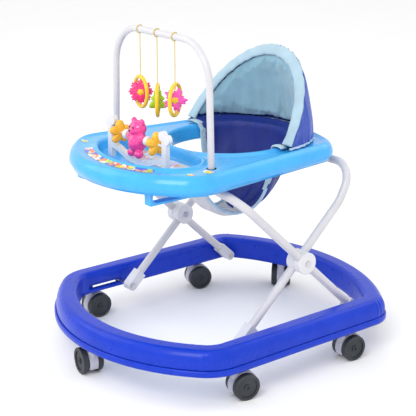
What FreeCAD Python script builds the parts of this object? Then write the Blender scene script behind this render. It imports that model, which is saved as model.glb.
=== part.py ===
# Baby walker: ring base on swivel casters, folding X legs, play tray, toy arch and fabric seat.
# Millimetres. Origin on the floor under the middle of the base; +X child's left, -Y front, +Z up.
import FreeCAD, Part
import math
import os

os.makedirs("parts", exist_ok=True)
Vec = FreeCAD.Vector
doc = FreeCAD.newDocument("baby_walker")

# ---------------------------------------------------------------- driving sizes
sizes = doc.addObject("Spreadsheet::Sheet", "sizes")
driving = {
    # ring base
    "baseHalfWidth": 262, "baseFront": 319, "baseRear": 318, "baseFrontBulge": 340,
    "baseRearBulge": 385, "baseFrontCorner": 85, "baseRearCorner": 60, "ringBottom": 62,
    "ringHeight": 42, "ringWidth": 44, "ringWall": 2.6, "flangeHeight": 8, "flangeStep": 4,
    # casters
    "wheelDiameter": 50, "wheelWidth": 12, "casterTrail": 17, "hoodWidth": 16, "hoodLip": 2,
    "stemDiameter": 8, "stemLength": 46, "axleDiameter": 6, "socketWall": 4, "sideCasterFront": 150,
    "sideCasterRear": 118, "rearCasterX": 118,
    # folding legs
    "tubeDiameter": 16, "tubeWall": 1.2, "hubHeight": 202, "hubY": 52, "footHeight": 73,
    "footReach": 138, "outerLegX": 199, "innerLegX": 181, "topBarHeight": 364, "rearBarY": 190,
    "outerBend": 60, "innerBend": 46, "kneeBend": 60, "kneeReach": 104, "discDiameter": 42,
    "rivetDiameter": 6, "footPinDiameter": 8, "slideTravel": 80, "capRadius": 10,
    # tray
    "trayFront": 292, "trayRear": 205, "trayFrontHalf": 198, "trayRearHalf": 165,
    "trayFrontBulge": 240, "trayRearBulge": 352, "trayFrontCorner": 75, "trayRearCorner": 60,
    "trayBottom": 374, "trayHeight": 36, "trayWall": 3, "seatHoleFront": 94, "seatHoleRear": 152,
    "seatHoleHalf": 116, "recessDepth": 20, "recessHalf": 128, "recessFront": 236,
    "recessRear": 106, "bracketX": 110, "clipX": 60, "clipWall": 1.8, "barSlotPlay": 2,
    # toy arch, console and toys
    "archDiameter": 12.6, "archWall": 1.4, "archFootX": 150, "archY": 132, "archTop": 627, "archLean": 8,
    "archBend": 74, "stringDiameter": 1.6, "toySpacing": 54, "toyShift": 10, "toyRingDiameter": 64,
    "toyRingSection": 7, "consoleHalf": 86, "consoleY": 185, "consoleTop": 470, "rodHeight": 441,
    "rodDiameter": 5, "postWidth": 13, "postDepth": 9, "starDiameter": 46, "starThickness": 15,
    "starX": 58, "bearHeight": 76, "spoolX": 33,
    # seat
    "hoopDiameter": 5, "backHalf": 156, "backRise": 225, "backDepth": 146, "backY": 46,
    "backPad": 12, "hoopLean": 146, "slingHalf": 109, "slingDrop": 150, "slingWall": 4,
    "slingDepth": 118, "legHoleRear": 20, "linerLift": 6, "linerPad": 9, "crotchHalf": 40, "crotchRear": 40,
    "clothGap": 0.3,
    # fits
    "runFit": 0.05, "gap": 0.4,
}
for row, (word, number) in enumerate(driving.items(), start=1):
    sizes.set("A%d" % row, word)
    sizes.set("B%d" % row, str(number))
    sizes.setAlias("B%d" % row, word)
doc.recompute()


def size(word):
    """Driving size read back from the sheet."""
    return float(sizes.get(word))


# ---------------------------------------------------------------- helpers
def bind(obj, **formulas):
    """Bind properties of an object to formulas on the sheet; x, y, z mean its position."""
    for name, formula in formulas.items():
        text = str(formula).replace("#", "sizes.")
        if name in ("x", "y", "z"):
            name = "Placement.Base." + name
        obj.setExpression(name, text)
    return obj


def turned(obj, axis, angle):
    obj.Placement = FreeCAD.Placement(obj.Placement.Base, FreeCAD.Rotation(Vec(*axis), angle))
    return obj


def cylinder(name, axis="z", **formulas):
    """Cylinder along an axis; Radius, Height and position as formulas."""
    obj = doc.addObject("Part::Cylinder", name)
    if axis == "x":
        turned(obj, (0, 1, 0), 90)
    if axis == "y":
        turned(obj, (1, 0, 0), -90)
    return bind(obj, **formulas)


def box(name, **formulas):
    return bind(doc.addObject("Part::Box", name), **formulas)


def cut(name, base, tool):
    obj = doc.addObject("Part::Cut", name)
    obj.Base = base
    obj.Tool = tool
    return obj


def fuse(name, *shapes):
    obj = doc.addObject("Part::MultiFuse", name)
    obj.Shapes = list(shapes)
    return obj


def common(name, *shapes):
    obj = doc.addObject("Part::MultiCommon", name)
    obj.Shapes = list(shapes)
    return obj


def group(name, *shapes):
    """Separate solids that share one node."""
    obj = doc.addObject("Part::Compound", name)
    obj.Links = list(shapes)
    return obj


def feature(name, shape, placement=FreeCAD.Placement()):
    """Shape made by this file's own formulas; its sizes come from the sheet."""
    obj = doc.addObject("Part::Feature", name)
    obj.Shape = shape
    obj.Placement = placement
    return obj


nodes = []


def node(obj, label):
    """Register a finished piece under its everyday name."""
    obj.Label = label
    nodes.append(obj)
    return obj


def fitted(name, pieces, housing):
    """Pieces trimmed to lie against the inside of the moulding that holds them."""
    return cut(name, group(name + "Blank", *pieces), housing)


def arc(centre, radius, start, end, height):
    """Arc edge in a level plane between two angles in degrees, anticlockwise."""
    circle = Part.Circle(Vec(centre[0], centre[1], height), Vec(0, 0, 1), radius)
    return Part.Arc(circle, math.radians(start), math.radians(end)).toShape()


def bulged_outline(prefix, inset, height):
    """Closed level outline: bowed front and rear, round corners, sides tangent to the corners.

    The inset moves every curve inward by the same distance, so two outlines are parallel.
    """
    half_front, half_rear, front, rear, front_bulge, rear_bulge, front_corner, rear_corner = prefix
    front_mid = -front + front_bulge
    rear_mid = rear - rear_bulge
    front_x = half_front - front_corner
    rear_x = half_rear - rear_corner
    front_y = front_mid - math.sqrt((front_bulge - front_corner) ** 2 - front_x ** 2)
    rear_y = rear_mid + math.sqrt((rear_bulge - rear_corner) ** 2 - rear_x ** 2)
    span = math.hypot(rear_x - front_x, rear_y - front_y)
    heading = math.degrees(math.atan2(rear_y - front_y, rear_x - front_x))
    spread = math.degrees(math.asin((rear_corner - front_corner) / span))
    side = heading - 90 - spread
    front_turn = math.degrees(math.atan2(front_y - front_mid, front_x))
    rear_turn = math.degrees(math.atan2(rear_y - rear_mid, rear_x))
    front_r = front_corner - inset
    rear_r = rear_corner - inset
    unit = Vec(math.cos(math.radians(side)), math.sin(math.radians(side)), 0)
    right_front = Vec(front_x, front_y, height) + unit * front_r
    right_rear = Vec(rear_x, rear_y, height) + unit * rear_r
    left_front = Vec(-right_front.x, right_front.y, height)
    left_rear = Vec(-right_rear.x, right_rear.y, height)
    edges = [
        Part.LineSegment(right_front, right_rear).toShape(),
        arc((rear_x, rear_y), rear_r, side, rear_turn, height),
        arc((0, rear_mid), rear_bulge - inset, rear_turn, 180 - rear_turn, height),
        arc((-rear_x, rear_y), rear_r, 180 - rear_turn, 180 - side, height),
        Part.LineSegment(left_rear, left_front).toShape(),
        arc((-front_x, front_y), front_r, 180 - side, 180 - front_turn, height),
        arc((0, front_mid), front_bulge - inset, 180 - front_turn, 360 + front_turn, height),
        arc((front_x, front_y), front_r, front_turn, side, height),
    ]
    return Part.Wire(edges)


def stacked(prefix, steps):
    """Solid between parallel outlines, each step an inset and a height."""
    wires = [bulged_outline(prefix, inset, height) for inset, height in steps]
    return Part.makeLoft(wires, True, True)


def rounded_path(points, radii):
    """Polyline through the points with each inner corner rounded by its radius."""
    edges = []
    start = points[0]
    for i in range(1, len(points) - 1):
        into = (points[i] - points[i - 1]).normalize()
        out = (points[i + 1] - points[i]).normalize()
        turn = into.getAngle(out)
        trim = radii[i - 1] * math.tan(turn / 2)
        arc_start = points[i] - into * trim
        arc_end = points[i] + out * trim
        inward = (out - into).normalize()
        centre = points[i] + inward * (radii[i - 1] / math.cos(turn / 2))
        middle = centre - inward * radii[i - 1]
        edges.append(Part.LineSegment(start, arc_start).toShape())
        edges.append(Part.Arc(arc_start, middle, arc_end).toShape())
        start = arc_end
    edges.append(Part.LineSegment(start, points[-1]).toShape())
    return Part.Wire(edges)


def swept(path, radius):
    """Round bar along a path."""
    first = path.Edges[0]
    start = first.valueAt(first.FirstParameter)
    ahead = first.tangentAt(first.FirstParameter)
    ring = Part.Wire([Part.Circle(start, ahead, radius).toShape()])
    return path.makePipeShell([ring], True, False)


def tube(path, outer, wall):
    """Hollow round tube along a path; the bore runs out through both ends."""
    return swept(path, outer).cut(swept(path, outer - wall))


# ---------------------------------------------------------------- ring base
ringPrefix = (size("baseHalfWidth"), size("baseHalfWidth"), size("baseFront"), size("baseRear"),
              size("baseFrontBulge"), size("baseRearBulge"), size("baseFrontCorner"),
              size("baseRearCorner"))
ringTop = size("ringBottom") + size("ringHeight")
channelMiddle = size("ringWidth") / 2 - 0.5


def ring_section(inset):
    """Inverted channel section: flange, leaning outer wall, rounded crown, inner wall."""
    width, height, step = size("ringWidth"), size("ringHeight"), size("flangeStep")
    lip, low = size("flangeHeight"), size("ringBottom")
    shoulder = 12.0
    if inset:
        outer = [(step + inset, 0), (step + inset + 5, height - shoulder)]
        inner = [(width - inset - 2, height - shoulder), (width - inset, 0)]
    else:
        outer = [(0, 0), (0, lip), (step, lip), (step + 5, height - shoulder)]
        inner = [(width - 2, height - shoulder), (width, 0)]
    crown_out = (outer[-1][0] + 9 - inset / 2, height - inset)
    crown_in = (inner[0][0] - 8 + inset / 2, height - inset)

    def place(point):
        return Vec(size("baseHalfWidth") - point[0], 0, low + point[1])

    def line(first, second):
        return Part.LineSegment(place(first), place(second)).toShape()

    def shoulder_arc(first, second, bow):
        middle = ((first[0] + second[0]) / 2 + bow, (first[1] + second[1]) / 2 + 2.6)
        return Part.Arc(place(first), place(middle), place(second)).toShape()

    edges = [line(a, b) for a, b in zip(outer, outer[1:])]
    edges.append(shoulder_arc(outer[-1], crown_out, -1.8))
    edges.append(line(crown_out, crown_in))
    edges.append(shoulder_arc(crown_in, inner[0], 1.8))
    edges += [line(a, b) for a, b in zip(inner, inner[1:])]
    edges.append(line(inner[-1], outer[0]))
    return Part.Wire(edges)


ringPath = bulged_outline(ringPrefix, 0, size("ringBottom"))
slotLow = -size("footReach") + size("hubY") - size("slideTravel")
slotHigh = -size("footReach") + size("hubY")
pinR = size("footPinDiameter") / 2
innerWall = size("baseHalfWidth") - size("ringWidth")


def slot_cutter(side, inner_x, outer_x, play):
    """Long round-ended slot along Y for the sliding foot pin."""
    width = outer_x - inner_x
    radius = pinR + play
    low = Vec(inner_x if side > 0 else -outer_x, slotLow, size("footHeight"))
    high = Vec(low.x, slotHigh, low.z)
    along = Vec(1, 0, 0)
    bar = Part.makeBox(width, slotHigh - slotLow, 2 * radius, low - Vec(0, 0, radius))
    ends = [Part.makeCylinder(radius, width, point, along) for point in (low, high)]
    return bar.fuse(ends)


ring = ringPath.makePipeShell([ring_section(0)], True, False)
ring = ring.cut(ringPath.makePipeShell([ring_section(size("ringWall"))], True, False))
for side in (1, -1):
    ring = ring.cut(slot_cutter(side, innerWall - 6, innerWall + 8, 1.0))
    mouth = Part.makeCylinder(pinR + 5, 16, Vec(side * (innerWall - 6), size("hubY") + size("footReach"),
                                               size("footHeight")), Vec(side, 0, 0))
    ring = ring.cut(mouth)
baseRing = node(feature("baseRing", ring), "base_ring")

trackX = innerWall + 5


def track(side):
    """Slotted slide plate hung from the crown behind the inner wall of the ring."""
    body = doc.addObject("PartDesign::Body", "track%s" % ("Left" if side > 0 else "Right"))
    plane = [f for f in body.Origin.OriginFeatures if f.Role == "YZ_Plane"][0]
    outline = body.newObject("Sketcher::SketchObject", body.Name + "Outline")
    outline.AttachmentSupport = (plane, "")
    outline.MapMode = "FlatFace"
    low, high = slotLow - 16, slotHigh + 16
    bottom, top = size("footHeight") - 9, ringTop - size("ringWall")
    corners = [Vec(low, bottom), Vec(high, bottom), Vec(high, top), Vec(low, top)]
    for i in range(4):
        outline.addGeometry(Part.LineSegment(corners[i], corners[(i + 1) % 4]), False)
    pad = body.newObject("PartDesign::Pad", body.Name + "Pad")
    pad.Profile = outline
    pad.Length = 3
    slot = body.newObject("Sketcher::SketchObject", body.Name + "Slot")
    slot.AttachmentSupport = (plane, "")
    slot.MapMode = "FlatFace"
    z, r = size("footHeight"), pinR + size("runFit")
    half = math.pi / 2
    slot.addGeometry(Part.LineSegment(Vec(slotLow, z - r), Vec(slotHigh, z - r)), False)
    slot.addGeometry(Part.LineSegment(Vec(slotHigh, z + r), Vec(slotLow, z + r)), False)
    slot.addGeometry(Part.ArcOfCircle(Part.Circle(Vec(slotHigh, z), Vec(0, 0, 1), r), -half, half), False)
    slot.addGeometry(Part.ArcOfCircle(Part.Circle(Vec(slotLow, z), Vec(0, 0, 1), r), half, 3 * half), False)
    pocket = body.newObject("PartDesign::Pocket", body.Name + "Pocket")
    pocket.Profile = slot
    pocket.Type = "ThroughAll"
    pocket.Midplane = True
    body.Placement = FreeCAD.Placement(Vec(trackX if side > 0 else -trackX - 3, 0, 0), FreeCAD.Rotation())
    return body


node(fitted("slideTracks", [track(1), track(-1)], baseRing), "slide_tracks")


def rear_bracket(side):
    """Block behind the inner wall that carries the rear hinge pin."""
    name = "rearBracket%s" % ("Left" if side > 0 else "Right")
    block = box(name + "Block", Length=12, Width=22, Height="#ringBottom + #ringHeight - #ringWall - #footHeight + 10")
    bind(block, x="#baseHalfWidth - #ringWidth + 5" if side > 0 else "-#baseHalfWidth + #ringWidth - 17",
         y="#hubY + #footReach - 11 - 4", z="#footHeight - 10")
    hole = cylinder(name + "Hole", "x", Radius="#footPinDiameter / 2", Height=14,
                    x="#baseHalfWidth - #ringWidth + 4" if side > 0 else "-#baseHalfWidth + #ringWidth - 18",
                    y="#hubY + #footReach", z="#footHeight")
    return cut(name, block, hole)


node(fitted("rearBrackets", [rear_bracket(1), rear_bracket(-1)], baseRing), "rear_hinge_brackets")


def rear_pin(side):
    name = "rearPin%s" % ("Left" if side > 0 else "Right")
    start = "#outerLegX - #tubeDiameter / 2 - 5"
    return cylinder(name, "x", Radius="#footPinDiameter / 2",
                    Height="#baseHalfWidth - #ringWidth + 17 - (%s)" % start,
                    x=start if side > 0 else "-#baseHalfWidth + #ringWidth - 17",
                    y="#hubY + #footReach", z="#footHeight")


node(group("rearPins", rear_pin(1), rear_pin(-1)), "rear_hinge_pins")

# ---------------------------------------------------------------- casters
rearBulgeY = "#baseRear - #baseRearBulge"
casters = {
    "front": ("0", "-#baseFront + #ringWidth / 2 - 0.5", 80),
    "front_left": ("#baseHalfWidth - #ringWidth / 2 + 0.5", "-#sideCasterFront", -12),
    "front_right": ("-#baseHalfWidth + #ringWidth / 2 - 0.5", "-#sideCasterFront", -3),
    "rear_left": ("#baseHalfWidth - #ringWidth / 2 + 0.5", "#sideCasterRear", -6),
    "rear_right": ("-#baseHalfWidth + #ringWidth / 2 - 0.5", "#sideCasterRear", -16),
    "back_left": ("#rearCasterX", rearBulgeY + " + sqrt((#baseRearBulge - #ringWidth / 2 + 0.5)^2"
                  " - #rearCasterX^2)", -20),
    "back_right": ("-#rearCasterX", rearBulgeY + " + sqrt((#baseRearBulge - #ringWidth / 2 + 0.5)^2"
                   " - #rearCasterX^2)", 45),
}
wheelR = "#wheelDiameter / 2"


def caster_fork(name, x, y, heading):
    """Hood between the twin wheels with a boss for the steel stem, in the stem's own frame."""
    web = cylinder(name + "Web", "x", Radius=wheelR + " + #hoodLip", Height="#hoodWidth",
                   x="-#hoodWidth / 2", y="#casterTrail", z=wheelR)
    low = box(name + "Low", Length=60, Width=90, Height=30, x=-30, y=-40, z="#wheelDiameter / 4 - 30")
    heel = box(name + "Heel", Length=60, Width=60, Height=60, x=-30, y="#casterTrail + 11", z=wheelR + " + 9 - 60")
    bore = cylinder(name + "Bore", "x", Radius="#axleDiameter / 2 + #runFit", Height=60, x=-30,
                    y="#casterTrail", z=wheelR)
    boss = cylinder(name + "Boss", Radius="#hoodWidth / 2 - 0.5", Height="#wheelDiameter / 2 + 2", z=wheelR + " + 5")
    stem_hole = cylinder(name + "StemHole", Radius="#stemDiameter / 2", Height=80, z=wheelR + " + 15")
    hood = cut(name + "Hood", fuse(name + "Solid", web, boss), fuse(name + "Cuts", low, heel, bore, stem_hole))
    stem = cylinder(name + "Stem", Radius="#stemDiameter / 2", Height="#stemLength", z=wheelR + " + 15")
    return placed(group(name, hood, stem), x, y, heading)


def placed(obj, x, y, heading):
    turned(obj, (0, 0, 1), heading)
    return bind(obj, x=x, y=y)


def wheel(name, side):
    """Hollow-faced wheel with a hub, moulded in one piece."""
    inner = "#hoodWidth / 2 + #gap"
    start = inner if side > 0 else "-(%s) - #wheelWidth" % inner
    disc = cylinder(name + "Disc", "x", Radius=wheelR, Height="#wheelWidth", x=start, y="#casterTrail", z=wheelR)
    edge = doc.addObject("Part::Chamfer", name + "Edge")
    edge.Base = disc
    edge.Edges = [(1, 1.5, 1.5), (3, 1.5, 1.5)]
    face = "%s + #wheelWidth - 2" % inner if side > 0 else "-(%s) - #wheelWidth - 1" % inner
    dish = cylinder(name + "Dish", "x", Radius=wheelR + " - 6", Height=3, x=face, y="#casterTrail", z=wheelR)
    hub = cylinder(name + "Hub", "x", Radius=6, Height=3, x=face, y="#casterTrail", z=wheelR)
    hole = cylinder(name + "Hole", "x", Radius="#axleDiameter / 2", Height=60, x=-30, y="#casterTrail", z=wheelR)
    shell = cut(name + "Shell", edge, cut(name + "Ring", dish, hub))
    return cut(name, shell, hole)


def caster_wheels(name, x, y, heading):
    reach = "#hoodWidth / 2 + #gap + #wheelWidth - 2"
    axle = cylinder(name + "Axle", "x", Radius="#axleDiameter / 2", Height="2 * (%s)" % reach,
                    x="-(%s)" % reach, y="#casterTrail", z=wheelR)
    return placed(group(name, wheel(name + "Left", 1), wheel(name + "Right", -1), axle), x, y, heading)


sockets = []
for place, (x, y, heading) in casters.items():
    word = place.replace("_", " ").title().replace(" ", "")
    node(caster_fork("fork" + word, x, y, heading), "caster_fork_" + place)
    node(caster_wheels("wheels" + word, x, y, heading), "caster_wheels_" + place)
    sleeve = cylinder("sleeve" + word, Radius="#stemDiameter / 2 + #socketWall",
                      Height="#ringHeight - #ringWall - 2", x=x, y=y, z="#ringBottom + 2")
    bore = cylinder("sleeveBore" + word, Radius="#stemDiameter / 2 + #runFit",
                    Height=wheelR + " + 15 + #stemLength + 1 - #ringBottom", x=x, y=y, z="#ringBottom")
    sockets.append(cut("socket" + word, sleeve, bore))
node(fitted("casterSockets", sockets, baseRing), "caster_sockets")

# ---------------------------------------------------------------- folding legs
slope = math.atan2(size("hubHeight") - size("footHeight"), size("footReach"))
topRise = size("topBarHeight") - size("hubHeight")
outerTopY = size("hubY") - topRise / math.tan(slope)
rearFoot = Vec(0, size("hubY") + size("footReach"), size("footHeight"))
frontFoot = Vec(0, size("hubY") - size("footReach"), size("footHeight"))
kneeY = size("hubY") + size("kneeReach")
kneeZ = size("hubHeight") + size("kneeReach") * math.tan(slope)
tubeR = size("tubeDiameter") / 2
down = Vec(0, math.cos(slope), -math.sin(slope))
downFront = Vec(0, -math.cos(slope), -math.sin(slope))


def mirrored(points):
    """The same points on the other side, in reverse order."""
    return [Vec(-p.x, p.y, p.z) for p in reversed(points)]


def at_x(point, x):
    return Vec(x, point.y, point.z)


outerHalf = [at_x(rearFoot, size("outerLegX")), Vec(size("outerLegX"), outerTopY, size("topBarHeight"))]
outerPath = rounded_path(outerHalf + mirrored(outerHalf), [size("outerBend")] * 2)
innerHalf = [at_x(frontFoot, size("innerLegX")), Vec(size("innerLegX"), kneeY, kneeZ),
             Vec(size("innerLegX"), size("rearBarY"), size("topBarHeight"))]
innerPath = rounded_path(innerHalf + mirrored(innerHalf),
                         [size("kneeBend"), size("innerBend"), size("innerBend"), size("kneeBend")])


def cross_drilled(shape, x, points, radius):
    """Drill a tube across, along X, at each point on both sides."""
    for point in points:
        for side in (1, -1):
            start = Vec(side * x - 15, point.y, point.z)
            shape = shape.cut(Part.makeCylinder(radius, 30, start, Vec(1, 0, 0)))
    return shape


hubPoint = Vec(0, size("hubY"), size("hubHeight"))
rivetR = size("rivetDiameter") / 2
outerFrame = tube(outerPath, tubeR, size("tubeWall"))
outerFrame = cross_drilled(outerFrame, size("outerLegX"), [hubPoint], rivetR)
outerFrame = cross_drilled(outerFrame, size("outerLegX"), [rearFoot], pinR + size("runFit"))
node(feature("outerFrame", outerFrame), "outer_leg_frame")
innerFrame = tube(innerPath, tubeR, size("tubeWall"))
innerFrame = cross_drilled(innerFrame, size("innerLegX"), [hubPoint], rivetR + size("runFit"))
innerFrame = cross_drilled(innerFrame, size("innerLegX"), [frontFoot], pinR)
node(feature("innerFrame", innerFrame), "inner_leg_frame")


def leg_bar(x, side):
    """Straight leg stretch as a solid bar, used to bore the discs and caps that grip it."""
    ahead = down if x == size("outerLegX") else downFront
    reach = math.hypot(size("footReach"), size("hubHeight") - size("footHeight"))
    start = Vec(side * x, hubPoint.y, hubPoint.z) - ahead * 60
    return Part.makeCylinder(tubeR, 60 + reach, start, ahead)


def disc(x, inward, side, hole):
    """Round pivot housing clamped on a leg at the crossing."""
    half = (size("outerLegX") - size("innerLegX")) / 2 - size("gap") / 2
    outer_reach = tubeR + 2.2
    low, high = (x - half, x + outer_reach) if inward else (x - outer_reach, x + half)
    start = min(side * low, side * high)
    body = Part.makeCylinder(size("discDiameter") / 2, high - low, Vec(start, hubPoint.y, hubPoint.z), Vec(1, 0, 0))
    rims = [edge for edge in body.Edges if edge.Closed]
    body = body.makeChamfer(1.2, rims)
    body = body.cut(leg_bar(x, side))
    return body.cut(Part.makeCylinder(hole, 60, Vec(side * x - 30, hubPoint.y, hubPoint.z), Vec(1, 0, 0)))


outerDiscs = [feature("outerDisc%d" % (side + 1), disc(size("outerLegX"), True, side, rivetR)) for side in (1, -1)]
node(group("outerDiscs", *outerDiscs), "outer_pivot_discs")
innerDiscs = [feature("innerDisc%d" % (side + 1), disc(size("innerLegX"), False, side, rivetR + size("runFit")))
              for side in (1, -1)]
node(group("innerDiscs", *innerDiscs), "inner_pivot_discs")


def rivet(side):
    """Hub rivet with a domed head at each end."""
    name = "rivet%s" % ("Left" if side > 0 else "Right")
    inner = "#innerLegX - #tubeDiameter / 2 - 2.2 - #gap - 2"
    outer = "#outerLegX + #tubeDiameter / 2 + 2.2"
    shank = cylinder(name + "Shank", "x", Radius="#rivetDiameter / 2", Height="%s + 2 - (%s)" % (outer, inner),
                     x=inner if side > 0 else "-(%s) - 2" % outer, y="#hubY", z="#hubHeight")
    head_in = cylinder(name + "HeadIn", "x", Radius="#rivetDiameter", Height=2,
                       x=inner if side > 0 else "-(%s) - 2" % inner, y="#hubY", z="#hubHeight")
    head_out = cylinder(name + "HeadOut", "x", Radius="#rivetDiameter", Height=2,
                        x=outer if side > 0 else "-(%s) - 2" % outer, y="#hubY", z="#hubHeight")
    return fuse(name, shank, head_in, head_out)


node(group("rivets", rivet(1), rivet(-1)), "pivot_rivets")


def foot_cap(x, side, foot, ahead, hole):
    """Plastic end socket: a rounded block round the tube end with a cross hole for its pin."""
    width = 2 * tubeR + 5
    radius = size("capRadius")
    centre = Vec(side * x, foot.y, foot.z)
    start = Vec(side * x - width / 2, foot.y, foot.z)
    end = Part.makeCylinder(radius, width, start, Vec(1, 0, 0))
    block = Part.makeBox(width, 2 * radius, 34, Vec(-width / 2, -radius, 0))
    lean = FreeCAD.Rotation(Vec(0, 0, 1), -ahead)
    block.Placement = FreeCAD.Placement(centre, FreeCAD.Rotation(Vec(0, 0, 1), -ahead))
    cap = end.fuse(block).removeSplitter()
    bar = Part.makeCylinder(tubeR, 80, centre - ahead * 80, ahead)
    return cap.cut(bar).cut(Part.makeCylinder(hole, 60, centre - Vec(30, 0, 0), Vec(1, 0, 0)))


rearCaps = [feature("rearCap%d" % (side + 1), foot_cap(size("outerLegX"), side, rearFoot, down, pinR + size("runFit")))
            for side in (1, -1)]
node(group("rearCaps", *rearCaps), "rear_foot_caps")
frontCaps = [feature("frontCap%d" % (side + 1), foot_cap(size("innerLegX"), side, frontFoot, downFront, pinR))
             for side in (1, -1)]
node(group("frontCaps", *frontCaps), "front_foot_caps")


def slider_pin(side):
    """Pin that carries the front foot along its slot, with a retaining head behind the track."""
    name = "sliderPin%s" % ("Left" if side > 0 else "Right")
    start = "#innerLegX - #tubeDiameter / 2 - 4.5"
    end = "#baseHalfWidth - #ringWidth + 5 + 3 + 0.6"
    shank = cylinder(name + "Shank", "x", Radius="#footPinDiameter / 2", Height="%s - (%s)" % (end, start),
                     x=start if side > 0 else "-(%s)" % end, y="#hubY - #footReach", z="#footHeight")
    head = cylinder(name + "Head", "x", Radius="#footPinDiameter / 2 + 3", Height=2.5,
                    x=end if side > 0 else "-(%s) - 2.5" % end, y="#hubY - #footReach", z="#footHeight")
    knob = cylinder(name + "Knob", "x", Radius="#footPinDiameter / 2 + 2", Height=2,
                    x=start + " - 2" if side > 0 else "-(%s)" % start, y="#hubY - #footReach", z="#footHeight")
    return fuse(name, shank, head, knob)


node(group("sliderPins", slider_pin(1), slider_pin(-1)), "slider_pins")

# ---------------------------------------------------------------- tray
trayPrefix = (size("trayFrontHalf"), size("trayRearHalf"), size("trayFront"), size("trayRear"),
              size("trayFrontBulge"), size("trayRearBulge"), size("trayFrontCorner"), size("trayRearCorner"))
trayLow = size("trayBottom")
trayTop = trayLow + size("trayHeight")
wall = size("trayWall")
floorTop = trayTop - size("recessDepth")


def oval(half, front, rear, height):
    """Level oval outline: half ellipse to the front and half ellipse to the rear."""
    front_y, rear_y = -front, rear
    middle = (front_y + rear_y) / 2
    ellipse = Part.Ellipse(Vec(0, middle, height), (rear_y - front_y) / 2, half)
    ellipse.XAxis = Vec(0, 1, 0)
    return Part.Wire([ellipse.toShape()])


def oval_block(half, front, rear, low, high, draft):
    """Oval block between two heights; the draft widens its top."""
    wires = [oval(half, front, rear, low), oval(half + draft, front + draft, rear + draft, high)]
    return Part.makeLoft(wires, True, True)


recessPrefix = (size("recessHalf"), size("recessHalf") - 14, size("recessFront"), -size("recessRear"),
                size("trayFrontBulge") - 56, 400, 46, 22)


def recess(grow):
    """Play recess: a bowed pocket, narrower towards the seat, grown for its own wall."""
    steps = [(6 - grow, floorTop - grow), (-grow, trayTop + 2)]
    return stacked(recessPrefix, steps)


hole = oval_block(size("seatHoleHalf"), size("seatHoleFront"), size("seatHoleRear"), trayLow - 2, trayTop + 2, 0)
skirt = oval_block(size("seatHoleHalf") + wall, size("seatHoleFront") + wall, size("seatHoleRear") + wall,
                   trayLow + 4, trayTop, 0)
outside = stacked(trayPrefix, [(6, trayLow), (0, trayLow + 12), (2, trayTop - 12), (8, trayTop - 3), (15, trayTop)])
cavity = stacked(trayPrefix, [(6 + wall, trayLow - 1), (wall, trayLow + 12), (2 + wall, trayTop - 12),
                              (8 + wall, trayTop - wall - 2), (15 + wall, trayTop - wall)])
cavity = cavity.cut(recess(wall)).cut(skirt)
tray = outside.cut(cavity).cut(recess(0)).cut(hole)

archR = size("archDiameter") / 2
archFoot = Vec(size("archFootX"), -size("archY"), trayTop - 24)
archHalf = [archFoot, Vec(size("archFootX") - size("archLean"), -size("archY"), size("archTop"))]
archPath = rounded_path(archHalf + mirrored(archHalf), [size("archBend")] * 2)
archBar = swept(archPath, archR)
tray = tray.cut(archBar)
trayMoulding = node(feature("tray", tray), "tray")

node(feature("arch", tube(archPath, archR, size("archWall"))), "toy_arch")


def arch_socket(side):
    """Collar under the tray skin that grips the foot of the arch."""
    x = side * size("archFootX")
    collar = Part.makeCylinder(archR + 3, 16, Vec(x, -size("archY"), trayTop - wall - 16))
    return feature("archSocket%d" % (side + 1), collar.cut(archBar))


node(group("archSockets", arch_socket(1), arch_socket(-1)), "arch_sockets")

barSlot = tubeR + size("barSlotPlay")
foldedSlope = math.acos((size("footReach") * 2 + size("slideTravel")) * math.cos(slope) / (size("footReach") * 2))
upperOuter = topRise / math.sin(slope)
upperInner = math.hypot(size("rearBarY") - size("hubY"), topRise)
innerSlope = math.atan2(topRise, size("rearBarY") - size("hubY"))
restSpan = size("rearBarY") - outerTopY
foldedSpan = upperOuter * math.cos(foldedSlope) + upperInner * math.cos(foldedSlope + innerSlope - slope)
barTravel = foldedSpan - restSpan


def front_bracket(side):
    """Slotted bracket under the play floor in which the front cross bar slides forward."""
    x = side * size("bracketX") - 9
    low = outerTopY - barTravel - 3
    length = barTravel + 6
    top = floorTop - wall
    depth = top - (size("topBarHeight") - barSlot - 4)
    block = Part.makeBox(18, length + 2 * barSlot + 10, depth, Vec(x, low - barSlot - 5, top - depth))
    slot = Part.makeBox(30, length, 2 * barSlot, Vec(x - 6, low, size("topBarHeight") - barSlot))
    ends = [Part.makeCylinder(barSlot, 30, Vec(x - 6, y, size("topBarHeight")), Vec(1, 0, 0))
            for y in (low, low + length)]
    return feature("frontBracket%d" % (side + 1), block.cut(slot.fuse(ends)))


node(group("frontBrackets", front_bracket(1), front_bracket(-1)), "front_slide_brackets")


def rear_clip(side):
    """Hinge clip under the rear rim that grips the rear cross bar with a running fit."""
    name = "rearClip%s" % ("Left" if side > 0 else "Right")
    x = "#clipX - 11" if side > 0 else "-#clipX - 11"
    body = cylinder(name + "Round", "x", Radius="#tubeDiameter / 2 + #clipWall", Height=22, x=x, y="#rearBarY", z="#topBarHeight")
    post = box(name + "Post", Length=22, Width=11, Height="#trayBottom + #trayHeight - #topBarHeight",
               x=x, y="#rearBarY - 17", z="#topBarHeight")
    foot = box(name + "Foot", Length=22, Width=16, Height=8, x=x, y="#rearBarY - 17", z="#topBarHeight - 3")
    bore = cylinder(name + "Bore", "x", Radius="#tubeDiameter / 2 + #runFit", Height=30,
                    x=x + " - 4", y="#rearBarY", z="#topBarHeight")
    return cut(name, fuse(name + "Solid", body, post, foot), bore)


node(fitted("rearClips", [rear_clip(1), rear_clip(-1)], trayMoulding), "rear_bar_clips")

# ---------------------------------------------------------------- toy console
postR = size("postWidth") / 2


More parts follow.
